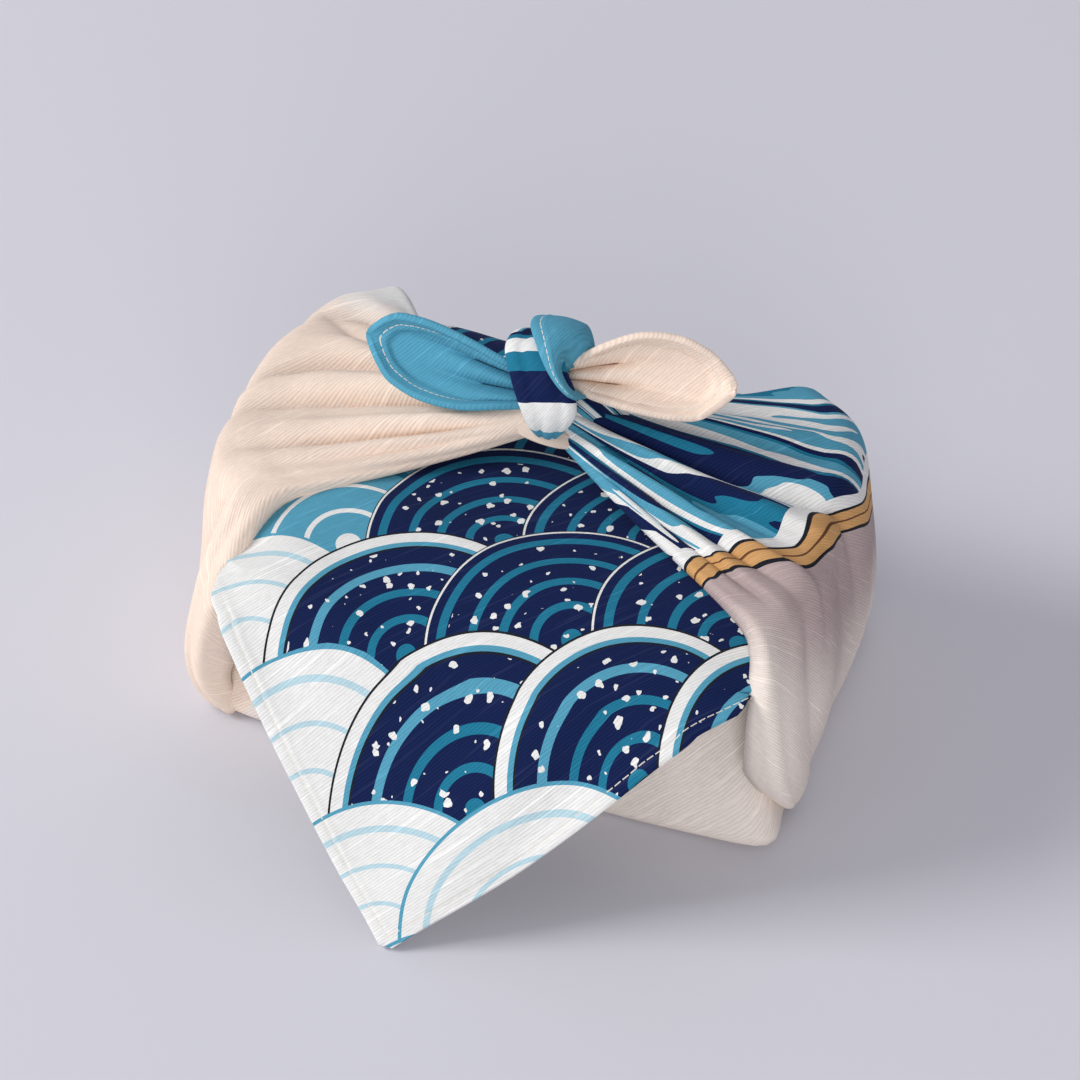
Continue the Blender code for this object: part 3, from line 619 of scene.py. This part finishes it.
def makeBand():
    # A loop round the X line through the knot's middle: a flattened superellipse section carried round it,
    # with creases along the loop.
    along, around = band["steps"]
    closed = np.array(band["rows"] + [(360.0,) + band["rows"][0][1:]])
    rows = evenRows(closed, along + 1)[:-1]
    angle = np.radians(rows[:, 0])
    out = np.column_stack([np.zeros(along), np.cos(angle), np.sin(angle)])
    turn = np.linspace(0, 2 * np.pi, around, endpoint=False)
    c, s = np.cos(turn), np.sin(turn)
    wide = np.sign(c) * np.abs(c) ** 0.8
    deep = np.sign(s) * np.abs(s) ** 0.7
    middle, half = (rows[:, 1] + rows[:, 2]) / 2, (rows[:, 2] - rows[:, 1]) / 2
    x = middle[:, None] + half[:, None] * wide
    crease = 0 * x
    for place, sway, start, halfWidth, depth in band["creases"]:
        line = place + sway * np.sin(angle + np.radians(start))[:, None]
        crease = crease + depth * np.exp(-((wide - line) / halfWidth) ** 2)
    reach = rows[:, 3:4] + band["thickness"] / 2 * (deep - 1) - crease * (deep > 0)
    centre = knotMiddle + out[:, None] * reach[..., None]
    centre[..., 0] += x
    u = band["flatStart"] + angle[:, None] * band["flatRadius"] + x * band["flatSlant"]
    flat = np.stack([u, x * band["flatStretch"]], -1)
    addTube(centre, flat, flat, loop=True)


def makeLobe():
    # A fold of cloth over the band's top, between its hemmed edge and its outer edge, puffed out in between.
    along, across = lobe["steps"]
    hem, outer = evenRows(lobe["hem"], along), evenRows(lobe["outer"], along)
    hemPlaces = [0, 0.012, 0.03, 0.055, 0.085, 0.12, 0.15, 0.18, 0.22]
    t = np.concatenate([hemPlaces, np.linspace(0.26, 1, across - len(hemPlaces))])
    place = hem[:, None] * (1 - t)[:, None] + outer[:, None] * t[:, None]
    x, angle = place[..., 0], np.radians(place[..., 1])
    down = np.linspace(0, 1, along)[:, None]
    puff = lobe["puff"] * np.sin(np.pi * np.clip(t * 0.9 + 0.1, 0, 1))
    puff = puff * np.sin(np.pi * np.clip(down * 0.92 + 0.08, 0, 1)) ** 0.6
    tuck = lobe["tuck"] * np.clip((t - 0.76) / 0.24, 0, 1) ** 2
    tuck = tuck + lobe["pointTuck"] * softStep(down, 0.94, 1.0)
    reach = lobe["reach"] + puff - tuck + 0 * x
    grid = knotMiddle + np.stack([x, reach * np.cos(angle), reach * np.sin(angle)], -1)
    width = np.linalg.norm(grid[:, -1] - grid[:, 0], axis=1)[:, None]
    inFromHem = t * width
    length = lengthsAlong(grid[:, across // 2])
    # its hemmed edge is the side of the right corner between the knot and the tip
    u = lobe["flatStart"] + length[:, None] * lobe["flatStretch"] + 0 * inFromHem
    v = cornerReach - u - inFromHem * 2 ** 0.5
    flat = np.stack([u, v], -1)
    weave = np.stack([u, inFromHem], -1)
    addSheet(grid, flat, weave)


def makeEar(rows, side):
    # A cupped leaf: across, an arc that stands forward at both rims; along, the row table's line, rounded
    # off to the tip; pleats fan out from its root.
    along, across = ears["steps"]
    rows = throughRows(rows, (1 - (1 - np.linspace(0, 1, along)) ** 1.8) * (len(rows) - 1))
    tilt = np.radians(ears["tilt"])
    up = np.array([0, np.cos(tilt), np.sin(tilt)])
    forward = np.array([0, -np.sin(tilt), np.cos(tilt)])
    rim = np.array([0, 0.02, 0.045, 0.08, 0.12, 0.16, 0.195, 0.23, 0.28, 0.36, 0.44, 0.5])
    place = np.concatenate([-1 + rim, np.linspace(-0.5, 0.5, across)[1:-1], (1 - rim)[::-1]])
    length = lengthsAlong(rows[:, :3])
    part = length / length[-1]
    power = ears["tipRound"][0 if side > 0 else 1]
    toTip = np.clip((part - 1 + ears["tipLength"]) / ears["tipLength"], 0, 0.985)
    half = (rows[:, 3] * (1 - toTip ** (power + 0.6)) ** (1 / power))[:, None]
    lift = np.zeros((along, len(place)))
    for at, width, depth, reach in ears["pleats"]:
        fade = 1 - softStep(part, reach * 0.25, reach)
        lift = lift + depth * np.exp(-((place - at * side) / width) ** 2) * fade[:, None]
    bend = ears["bend"]
    cup = rows[:, 4:5] * ((1 - np.cos(place * bend)) / (1 - np.cos(bend)) - 0.4) * half / rows[:, 3:4]
    cup = cup + lift * softStep(part, 0.02, 0.15)[:, None]
    wide = half * np.sin(place * bend) / np.sin(bend)
    grid = rows[:, None, :3] + up * wide[..., None] + forward * cup[..., None]
    # on the flat cloth the two rims are the corner's two hemmed sides
    fromTip = length[-1] - length[:, None] + 0.1
    fromRim = (1 - np.abs(place)) * half
    v = fromTip - 2 ** 0.5 * fromRim - (fromTip - 2 ** 0.5 * half) * (1 - np.abs(place)) ** 2
    flat = np.stack([side * (cornerReach - fromTip + 0 * v), np.sign(place) * np.clip(v, 0, None)], -1)
    weave = np.stack([flat[..., 0], place * half], -1)
    if rows[-1, 0] > 0:
        grid, flat, weave = grid[:, ::-1], flat[:, ::-1], weave[:, ::-1]
    addSheet(grid, flat, weave, puff=1.5)


for name in ("leftStrand", "rightStrand", "heart", "underStrand"):
    makeStrand(*strands[name])
makeBand()
makeLobe()
makeEar(ears["left"], 1)    # the end of the right corner comes out on the left
makeEar(ears["right"], -1)  # and the left corner's on the right
print("knot made")


def addObject(name, data):
    added = bpy.data.objects.new(name, data)
    bpy.context.scene.collection.objects.link(added)
    return added


def joinSurfaces(name):
    # All surfaces in one mesh, with the flat cloth as its UV map "flat" (0 to 1 along the square's two sides,
    # from the flap's tip) and the true-length places as the map "weave" (in hundreds of millimetres).
    points = np.concatenate([s["points"] for s in surfaces]) * mm
    starts = np.cumsum([0] + [len(s["points"]) for s in surfaces[:-1]])
    faces = np.concatenate([s["faces"] + start for s, start in zip(surfaces, starts)])
    flat = np.concatenate([s["flat"] for s in surfaces])
    weave = np.concatenate([s["weave"] for s in surfaces])
    mesh = bpy.data.meshes.new(name)
    mesh.from_pydata(points, [], faces)
    half = cloth["side"] / 2
    u, v = flat[:, 0], flat[:, 1]
    square = np.stack([half + (u - v) / 2 ** 0.5, half - (u + v) / 2 ** 0.5], 1)
    loops = np.empty(len(mesh.loops), int)
    mesh.loops.foreach_get("vertex_index", loops)
    for mapName, values in (("flat", square / cloth["side"]), ("weave", weave / 100)):
        layer = mesh.uv_layers.new(name=mapName)
        layer.data.foreach_set("uv", values[loops].astype(np.float32).ravel())
    mesh.polygons.foreach_set("use_smooth", np.ones(len(mesh.polygons), bool))
    mesh.update()
    print("cloth:", len(mesh.polygons) * 2, "triangles")
    return addObject(name, mesh)


wrap = joinSurfaces("furoshiki_wrap_cloth")


# Material.
printColours = {
    "navy": "#081B4A", "deepTeal": "#1C7694", "sky": "#559FBA", "white": "#EBEAE7", "outline": "#1A1D26",
    "cream": "#F4DFCE", "offWhite": "#EEE2D8", "mauve": "#B8A4A2", "ochre": "#D2A068", "brown": "#6B452B",
    "thread": "#E6DFD2", "paleSky": "#B9D6DF", "slub": "#F4F1EC",
}
printSizes = {
    "scaleRadius": 42.0,   # mm, of one scale of the overlapping-scale pattern
    "wobble": 5.0,         # mm, how far the printed lines drift from true circles
    "fleckSpacing": 5.4,   # mm
    "streakPeriod": 50.0,  # mm across the right corner
    "ribPitch": 0.85,      # mm between the cloth's ribs, a little coarser than real so that they show
    "weftPitch": 0.55,
    "stitchPitch": 2.6,    # mm, with a quarter of it as the gap
    "stitchWidth": 0.32,
}
printPlaces = {
    # middle and half sizes of the two dark fields, in mm from the flap's tip along the two sides
    "darkFields": [((112, 58, 0), (84, 90)), ((156, 140, 0), (64, 60))],
    "skyLimit": 1.208, "rimLimit": 1.14, "navyLimit": 0.80,
    # along the cloth's diagonals, in mm from the square's middle
    "wallTop": 22.0, "leftCorner": -79.0, "rightCorner": 84.0, "ribbon": 175.0, "knot": 249.0,
}
printRings = {
    # where each colour starts, from a scale's centre (0) to its edge (1)
    "navyScale": [
        (0.0, "deepTeal"), (0.07, "navy"), (0.215, "deepTeal"), (0.275, "navy"), (0.425, "deepTeal"),
        (0.485, "navy"), (0.635, "deepTeal"), (0.695, "navy"), (0.85, "deepTeal"), (0.912, "navy"),
        (0.975, "white"), (0.992, "outline"),
    ],
    "rimScale": [
        (0.0, "deepTeal"), (0.07, "navy"), (0.215, "deepTeal"), (0.275, "navy"), (0.425, "deepTeal"),
        (0.485, "navy"), (0.635, "sky"), (0.70, "navy"), (0.845, "outline"), (0.862, "sky"),
        (0.90, "white"), (0.982, "outline"),
    ],
    "skyScale": [
        (0.0, "white"), (0.09, "sky"), (0.28, "white"), (0.318, "sky"), (0.52, "white"), (0.558, "sky"),
        (0.74, "deepTeal"), (0.80, "sky"), (0.915, "white"), (0.982, "outline"),
    ],
    "whiteScale": [
        (0.0, "white"), (0.30, "paleSky"), (0.33, "white"), (0.56, "paleSky"), (0.59, "white"),
        (0.80, "paleSky"), (0.84, "white"), (0.975, "sky"),
    ],
    "streaks": [
        (0.0, "navy"), (0.17, "deepTeal"), (0.22, "white"), (0.35, "sky"), (0.50, "deepTeal"),
        (0.55, "navy"), (0.65, "white"), (0.71, "sky"), (0.80, "white"), (0.94, "sky"),
    ],
    "ribbon": [
        (0.0, "offWhite"), (0.36, "mauve"), (0.60, "outline"), (0.612, "ochre"), (0.645, "brown"),
        (0.655, "ochre"), (0.69, "outline"), (0.702, "white"),
    ],
    "knotStripes": [
        (0.0, "navy"), (0.18, "deepTeal"), (0.22, "white"), (0.33, "deepTeal"), (0.45, "navy"),
        (0.64, "white"), (0.84, "sky"),
    ],
}
inPlane = {"noise_dimensions": "2D"}
ofColours = {"data_type": "RGBA"}
smooth = {"interpolation_type": "SMOOTHSTEP"}


def linearColour(hexValue):
    # sRGB hex to linear light
    parts = [int(hexValue[k:k + 2], 16) / 255 for k in (1, 3, 5)]
    return [p / 12.92 if p <= 0.04045 else ((p + 0.055) / 1.055) ** 2.4 for p in parts] + [1.0]


def newMaterial(name, settings):
    material = bpy.data.materials.new(name)
    material.use_nodes = True
    shader = material.node_tree.nodes["Principled BSDF"]
    for key, value in settings.items():
        shader.inputs[key].default_value = value
    return material, shader


def addNode(tree, kind, setting, *values, **named):
    # Adds one node and gives back its first output in use. setting is its operation or a dictionary of
    # settings, in which "stops" are a ramp's hard-edged colours. values fill the sockets in use, in order,
    # and named ones by name: each is a number, a colour's name or the output to link from.
    node = tree.nodes.new("ShaderNode" + kind)
    settings = {"operation": setting} if isinstance(setting, str) else setting or {}
    for key, value in settings.items():
        if key != "stops":
            setattr(node, key, value)
            continue
        node.color_ramp.interpolation = "CONSTANT"
        while len(node.color_ramp.elements) < len(value):
            node.color_ramp.elements.new(0.5)
        for element, (place, name) in zip(node.color_ramp.elements, value):
            element.position, element.color = place, linearColour(printColours[name])
    filled = [*zip([s for s in node.inputs if s.enabled], values)]
    filled += [(node.inputs[name], value) for name, value in named.items()]
    for socket, value in filled:
        if isinstance(value, bpy.types.NodeSocket):
            tree.links.new(value, socket)
        else:
            socket.default_value = linearColour(printColours[value]) if isinstance(value, str) else value
    return next(s for s in node.outputs if s.enabled)


def drawScales(add, place):
    # Rows of circles half a radius apart, each row covering the one above it: of the three rows that can
    # reach a place, the lowest one whose circle holds it wins. A scale is the darker, the nearer its centre
    # is to a dark field.
    radius = printSizes["scaleRadius"]
    wobble = printSizes["wobble"]
    drift = add("TexNoise", inPlane, place, Scale=0.018, Detail=0.0).node
    drift = add("VectorMath", "SUBTRACT", drift.outputs["Color"], (0.5, 0.5, 0.5))
    drawn = add("VectorMath", "MULTIPLY_ADD", drift, (wobble, wobble, 0.0), place)
    split = add("SeparateXYZ", None, drawn).node
    x, y = split.outputs[0], split.outputs[1]
    rowPlace = add("Math", "DIVIDE", y, radius / 2)
    row = add("Math", "FLOOR", rowPlace)
    part = add("Math", "SUBTRACT", rowPlace, row)
    columnPlace = add("Math", "DIVIDE", x, radius * 2)
    shift = add("Math", "MULTIPLY", add("Math", "FLOORED_MODULO", row, 2.0), 0.5)
    aside = []
    for start in (add("Math", "SUBTRACT", 0.5, shift), shift):
        moved = add("Math", "SUBTRACT", columnPlace, start)
        moved = add("Math", "SUBTRACT", moved, add("Math", "ROUND", moved))
        aside.append(add("Math", "MULTIPLY", moved, radius * 2))
    reaches = []
    for dx, base, sign in ((aside[0], 1.0, 1.0), (aside[1], 0.0, 1.0), (aside[0], 1.0, -1.0)):
        rise = add("Math", "MULTIPLY_ADD", part, sign, base)
        rise = add("Math", "MULTIPLY", rise, radius / 2)
        reaches.append(add("VectorMath", "LENGTH", add("CombineXYZ", None, dx, rise)))
    inA = add("Math", "LESS_THAN", reaches[0], radius)
    inB = add("Math", "LESS_THAN", reaches[1], radius)
    inB = add("Math", "MULTIPLY", inB, add("Math", "SUBTRACT", 1.0, inA))
    reach = add("Mix", None, inB, reaches[2], reaches[1])
    reach = add("Mix", None, inA, reach, reaches[0])
    reach = add("Math", "DIVIDE", reach, radius)

    centreX = add("Math", "SUBTRACT", x, add("Mix", None, inB, aside[0], aside[1]))
    centreRow = add("Math", "SUBTRACT", add("Math", "ADD", row, 1.0), inB)
    centreRow = add("Math", "MULTIPLY_ADD", inA, -2.0, centreRow)
    centreY = add("Math", "MULTIPLY", centreRow, radius / 2)
    centre = add("CombineXYZ", None, centreX, centreY)
    rounded = add("VectorMath", "ADD", centre, (3.0, 3.0, 0.0))
    rounded = add("VectorMath", "SNAP", rounded, (7.0, 7.0, 7.0))
    chance = add("TexWhiteNoise", inPlane, rounded)
    depth = None
    for middle, (halfX, halfY) in printPlaces["darkFields"]:
        away = add("VectorMath", "SUBTRACT", centre, middle)
        away = add("VectorMath", "MULTIPLY", away, (1 / halfX, 1 / halfY, 0.0))
        away = add("VectorMath", "LENGTH", away)
        depth = add("Math", "MINIMUM", depth, away) if depth else away
    depth = add("Math", "MULTIPLY_ADD", chance, 0.22, depth)
    pattern = add("ValToRGB", {"stops": printRings["whiteScale"]}, reach)
    for limit, rings in (("skyLimit", "skyScale"), ("rimLimit", "rimScale"), ("navyLimit", "navyScale")):
        deeper = add("ValToRGB", {"stops": printRings[rings]}, reach)
        isDeeper = add("Math", "LESS_THAN", depth, printPlaces[limit])
        pattern = add("Mix", ofColours, isDeeper, pattern, deeper)

    # white flecks on the dark scales, one in each of about two thirds of the cells
    ragged = add("TexNoise", inPlane, place, Scale=0.5, Detail=1.0).node.outputs["Color"]
    ragged = add("VectorMath", "MULTIPLY_ADD", ragged, (1.6, 1.6, 0.0), place)
    density = 1 / printSizes["fleckSpacing"]
    cells = add("TexVoronoi", {"voronoi_dimensions": "2D"}, ragged, density).node
    cellChance = add("SeparateXYZ", None, cells.outputs["Color"])
    size = add("Math", "MULTIPLY_ADD", cellChance, 0.32, -0.09)
    fleck = add("Math", "LESS_THAN", cells.outputs["Distance"], size)
    isDark = add("Math", "LESS_THAN", depth, printPlaces["rimLimit"])
    isInside = add("Math", "LESS_THAN", reach, 0.84)
    fleck = add("Math", "MULTIPLY", fleck, isDark)
    fleck = add("Math", "MULTIPLY", fleck, isInside)
    return add("Mix", ofColours, fleck, pattern, "white")


def drawRightCorner(add, place, u, v):
    # Bands that run out from the knot, an ochre ribbon with a mauve ground below it, and the knot's stripes.
    drawnOut = add("CombineXYZ", None, u, v)
    drawnOut = add("VectorMath", "MULTIPLY", drawnOut, (0.016, 0.045, 0.0))
    sway = add("TexNoise", inPlane, drawnOut, Scale=1.0, Detail=2.0)
    bandPlace = add("Math", "MULTIPLY_ADD", sway, 44.0, v)
    bandPlace = add("Math", "MULTIPLY_ADD", u, 0.12, bandPlace)
    bandPlace = add("Math", "DIVIDE", bandPlace, printSizes["streakPeriod"])
    bandPlace = add("Math", "FRACT", bandPlace)
    streaks = add("ValToRGB", {"stops": printRings["streaks"]}, bandPlace)

    waver = add("TexNoise", inPlane, place, Scale=0.028, Detail=1.0)
    ribbonPlace = add("Math", "SUBTRACT", u, 8.0)
    ribbonPlace = add("Math", "MULTIPLY_ADD", waver, 18.0, ribbonPlace)
    ribbonPlace = add("Math", "MULTIPLY_ADD", v, 0.34, ribbonPlace)
    ribbon = add("MapRange", None, ribbonPlace, 100.0, 200.0)
    ribbon = add("ValToRGB", {"stops": printRings["ribbon"]}, ribbon)
    # the mauve ground fades out towards the foot
    ground = add("MapRange", smooth, ribbonPlace, 112.0, 150.0)
    ground = add("Mix", ofColours, ground, "offWhite", "mauve")
    isGround = add("Math", "LESS_THAN", ribbonPlace, 150.0)
    corner = add("Mix", ofColours, isGround, ribbon, ground)
    isUpper = add("Math", "GREATER_THAN", ribbonPlace, printPlaces["ribbon"])
    corner = add("Mix", ofColours, isUpper, corner, streaks)

    stripePlace = add("Math", "MULTIPLY_ADD", waver, 5.0, u)
    stripes = add("MapRange", None, stripePlace, 238.0, 288.0)
    stripes = add("ValToRGB", {"stops": printRings["knotStripes"]}, stripes)
    knotPlace = add("Math", "MULTIPLY_ADD", waver, 16.0, u)
    isKnot = add("Math", "GREATER_THAN", knotPlace, printPlaces["knot"])
    return add("Mix", ofColours, isKnot, corner, stripes)


def drawSeam(add, place, x, y):
    # Stitches in a line beside the cloth's edge: x and y are a place's mm from two of the square's sides.
    edges = []
    for value in (x, y):
        back = add("Math", "SUBTRACT", cloth["side"], value)
        edges.append(add("Math", "MINIMUM", value, back))
    edge = add("Math", "MINIMUM", *edges)
    alongHem = add("Mix", None, add("Math", "LESS_THAN", *edges), x, y)
    uneven = add("TexNoise", inPlane, place, Scale=0.12, Detail=1.0)
    seamAt = add("Math", "MULTIPLY_ADD", uneven, 0.6, cloth["stitchIn"] - 0.3)
    off = add("Math", "ABSOLUTE", add("Math", "SUBTRACT", edge, seamAt))
    dash = add("Math", "DIVIDE", alongHem, printSizes["stitchPitch"])
    dash = add("Math", "FRACT", dash)
    isLine = add("Math", "LESS_THAN", off, printSizes["stitchWidth"] / 2)
    isThread = add("Math", "LESS_THAN", dash, 0.76)
    return add("Math", "MULTIPLY", isLine, isThread)


clothFinish = {
    # brightness of the print, and what the ribs, single yarns, slow patches and slubs add to it
    "tone": 0.85, "ribTone": 0.07, "yarnTone": 0.20, "patchTone": 0.16, "slubTone": 0.19,
    "paleRib": 0.004, "paleSlub": 0.012, "threadCover": 0.9,  # shares of pale yarn and of thread
    # heights in the bump, where 1 is bumpDistance (in metres)
    "ribHeight": 0.42, "weftHeight": 0.12, "slubHeight": 0.65, "yarnHeight": 0.9, "stitchHeight": 1.5,
    "bumpDistance": 0.00012, "bumpStrength": 0.6,
    "shader": {
        "Roughness": 0.86, "Specular IOR Level": 0.15, "Sheen Weight": 0.02, "Sheen Roughness": 0.5,
    },
}


def makeClothMaterial():
    # Slub cotton: plain-woven cotton with a fine rib and thick uneven threads, printed with reactive ink.
    # To the eye it is quite matt, with a faint sheen, pale slubs that show through the dark ink and a
    # ribbed grain that follows every fold.
    material, shader = newMaterial("slub_cotton", clothFinish["shader"])
    tree = material.node_tree
    add = partial(addNode, tree)
    side = cloth["side"]
    flatMap = add("UVMap", {"uv_map": "flat"})
    place = add("VectorMath", "SCALE", flatMap, side)  # mm on the flat square, from the flap's tip
    split = add("SeparateXYZ", None, place).node
    x, y = split.outputs[0], split.outputs[1]
    # the cloth's two diagonals: u to the right corner, v to the back corner
    u = add("Math", "MULTIPLY", add("Math", "SUBTRACT", x, y), 0.7071)
    v = add("Math", "SUBTRACT", side, add("Math", "ADD", x, y))
    v = add("Math", "MULTIPLY", v, 0.7071)

    # The left corner is cream, and paler towards its back edge.
    cloud = add("TexNoise", inPlane, place, Scale=0.025, Detail=2.0)
    cream = add("Math", "MULTIPLY_ADD", cloud, 40.0, v)
    cream = add("Math", "MULTIPLY_ADD", add("Math", "ADD", u, 215.0), 0.4, cream)
    cream = add("MapRange", smooth, cream, 70.0, 108.0)
    cream = add("Mix", ofColours, cream, "cream", "white")

    # Which part of the design a place belongs to.
    colour = drawScales(add, place)
    for across, test, limit, other in (
        (v, "LESS_THAN", "wallTop", "offWhite"),
        (u, "GREATER_THAN", "rightCorner", drawRightCorner(add, place, u, v)),
        (u, "LESS_THAN", "leftCorner", cream),
    ):
        isOther = add("Math", test, across, printPlaces[limit])
        colour = add("Mix", ofColours, isOther, colour, other)

    # Weave: places across and along the ribs, in mm.
    weaveMap = add("UVMap", {"uv_map": "weave"})
    acrossRibs = add("VectorMath", "DOT_PRODUCT", weaveMap, (70.71, 70.71, 0.0))
    alongRibs = add("VectorMath", "DOT_PRODUCT", weaveMap, (70.71, -70.71, 0.0))
    bow = add("TexNoise", inPlane, weaveMap, Scale=2.0, Detail=0.0)
    acrossRibs = add("Math", "MULTIPLY_ADD", bow, 1.8, acrossRibs)
    turns = add("Math", "MULTIPLY", acrossRibs, 2 * np.pi / printSizes["ribPitch"])
    ribs = add("Math", "SINE", turns)
    turns = add("Math", "MULTIPLY", alongRibs, 2 * np.pi / printSizes["weftPitch"])
    weft = add("Math", "SINE", turns)
    # slubs about 1 mm wide and 30 mm long, and single yarns
    yarnPlace = add("CombineXYZ", None, acrossRibs, alongRibs)
    slub = add("VectorMath", "MULTIPLY", yarnPlace, (0.95, 0.030, 0.0))
    slub = add("TexNoise", inPlane, slub, Scale=1.0, Detail=1.0)
    slub = add("MapRange", None, slub, 0.62, 0.80)
    yarn = add("VectorMath", "MULTIPLY", yarnPlace, (1.5, 0.35, 0.0))
    yarn = add("TexNoise", inPlane, yarn, Scale=1.0, Detail=2.0)

    # Light and dark of the yarn on the print: ribs, slubs, single yarns and slow patches.
    patches = add("Math", "SUBTRACT", cloud, 0.5)
    tone = add("Math", "MULTIPLY_ADD", ribs, clothFinish["ribTone"], clothFinish["tone"])
    tone = add("Math", "MULTIPLY_ADD", yarn, clothFinish["yarnTone"], tone)
    tone = add("Math", "MULTIPLY_ADD", patches, clothFinish["patchTone"], tone)
    tone = add("Math", "MULTIPLY_ADD", slub, clothFinish["slubTone"], tone)
    colour = add("VectorMath", "SCALE", colour, tone)
    crests = add("Math", "MAXIMUM", ribs, 0.0)
    pale = add("Math", "MULTIPLY", slub, clothFinish["paleSlub"])
    pale = add("Math", "MULTIPLY_ADD", crests, clothFinish["paleRib"], pale)
    colour = add("Mix", ofColours, pale, colour, "slub")
    stitch = drawSeam(add, place, x, y)
    covered = add("Math", "MULTIPLY", stitch, clothFinish["threadCover"])
    colour = add("Mix", ofColours, covered, colour, "thread")
    tree.links.new(colour, shader.inputs["Base Color"])

    height = add("Math", "MULTIPLY", weft, clothFinish["weftHeight"])
    for part, name in ((ribs, "rib"), (slub, "slub"), (yarn, "yarn"), (stitch, "stitch")):
        height = add("Math", "MULTIPLY_ADD", part, clothFinish[name + "Height"], height)
    strength, distance = clothFinish["bumpStrength"], clothFinish["bumpDistance"]
    bump = add("Bump", None, Strength=strength, Distance=distance, Height=height)
    tree.links.new(bump, shader.inputs["Normal"])
    return material


wrap.data.materials.append(makeClothMaterial())
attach(wrap, "root")
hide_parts("furoshiki_cloth")


backdrop = {
    # metres: a level floor that bends up far behind
    "halfWidth": 7.0, "front": -8.0, "bendFrom": 2.2, "bendRadius": 1.2, "top": 3.5,
    "colour": "#DCDBE2",
    "shader": {"Roughness": 0.9, "Specular IOR Level": 0.2},
}


def makeFloor():
    # Level to where the bend starts, then a quarter circle, then straight up.
    mesh = bpy.data.meshes.new("studio_floor")
    start, radius = backdrop["bendFrom"], backdrop["bendRadius"]
    turn = np.linspace(0.2, 1.57, 7)
    x = np.linspace(-backdrop["halfWidth"], backdrop["halfWidth"], 5)
    level = np.linspace(backdrop["front"], start, 6)
    y = np.concatenate([level, start + radius * np.sin(turn), [start + radius]])
    z = np.concatenate([0 * level, radius - radius * np.cos(turn), [backdrop["top"]]])
    grid = np.stack([x + 0 * y[:, None], 0 * x + y[:, None], 0 * x + z[:, None]], -1)
    index = np.arange(70).reshape(14, 5)
    faces = np.stack([index[:-1, :-1], index[:-1, 1:], index[1:, 1:], index[1:, :-1]], -1).reshape(-1, 4)
    mesh.from_pydata(grid.reshape(-1, 3), [], faces)
    mesh.polygons.foreach_set("use_smooth", np.ones(len(mesh.polygons), bool))
    # Matt paper: seamless and evenly lit, with no shine, so that the wrap's soft shadow reads.
    material, shader = newMaterial("matt_paper_backdrop", backdrop["shader"])
    shader.inputs["Base Color"].default_value = linearColour(backdrop["colour"])
    mesh.materials.append(material)
    addObject("studio_floor", mesh)


makeFloor()
print("cloth and floor finished")


studio = {
    # soft key from the upper left, wide fill from the front, low light from behind: place and size in
    # metres, power in watts
    "lights": {
        "keySoftbox": ((-3.0, -1.10, 2.0), 1.70, 93.75), "fillSoftbox": ((1.0, -3.0, 1.05), 1.8, 40.0),
        "backSoftbox": ((-0.4, 1.5, 1.5), 1.3, 0.8),
    },
    "aim": (0.0, 0.0, 0.05),
    "roomColour": "#E6E6ED", "roomStrength": 0.50,
}


def aimFrom(thing, place, target):
    thing.location = place
    thing.rotation_euler = (Vector(target) - Vector(place)).to_track_quat("-Z", "Y").to_euler()


def makeStudio():
    for name, (place, size, power) in studio["lights"].items():
        data = bpy.data.lights.new(name, "AREA")
        data.size, data.energy = size, power
        aimFrom(addObject(name, data), place, studio["aim"])
    world = bpy.data.worlds.new("paleRoom")
    bpy.context.scene.world = world
    world.use_nodes = True
    background = world.node_tree.nodes["Background"]
    background.inputs["Color"].default_value = linearColour(studio["roomColour"])
    background.inputs["Strength"].default_value = studio["roomStrength"]
    bpy.context.scene.view_settings.view_transform = "Standard"  # the print's colours as they are


view = {
    # the photograph's place and angle in metres, and its focal length and width in pixels
    "place": (0.26827, -0.71753, 0.67279), "target": (-0.00413, 0.00254, 0.0447),
    "focal": 3330, "frame": 1080, "sensor": 36.0,
}


def makeCamera():
    data = bpy.data.cameras.new("photoCamera")
    data.sensor_width, data.lens = view["sensor"], view["focal"] / view["frame"] * view["sensor"]
    camera = addObject("photoCamera", data)
    aimFrom(camera, view["place"], view["target"])
    bpy.context.scene.camera = camera


makeStudio()
makeCamera()
print("scene made")
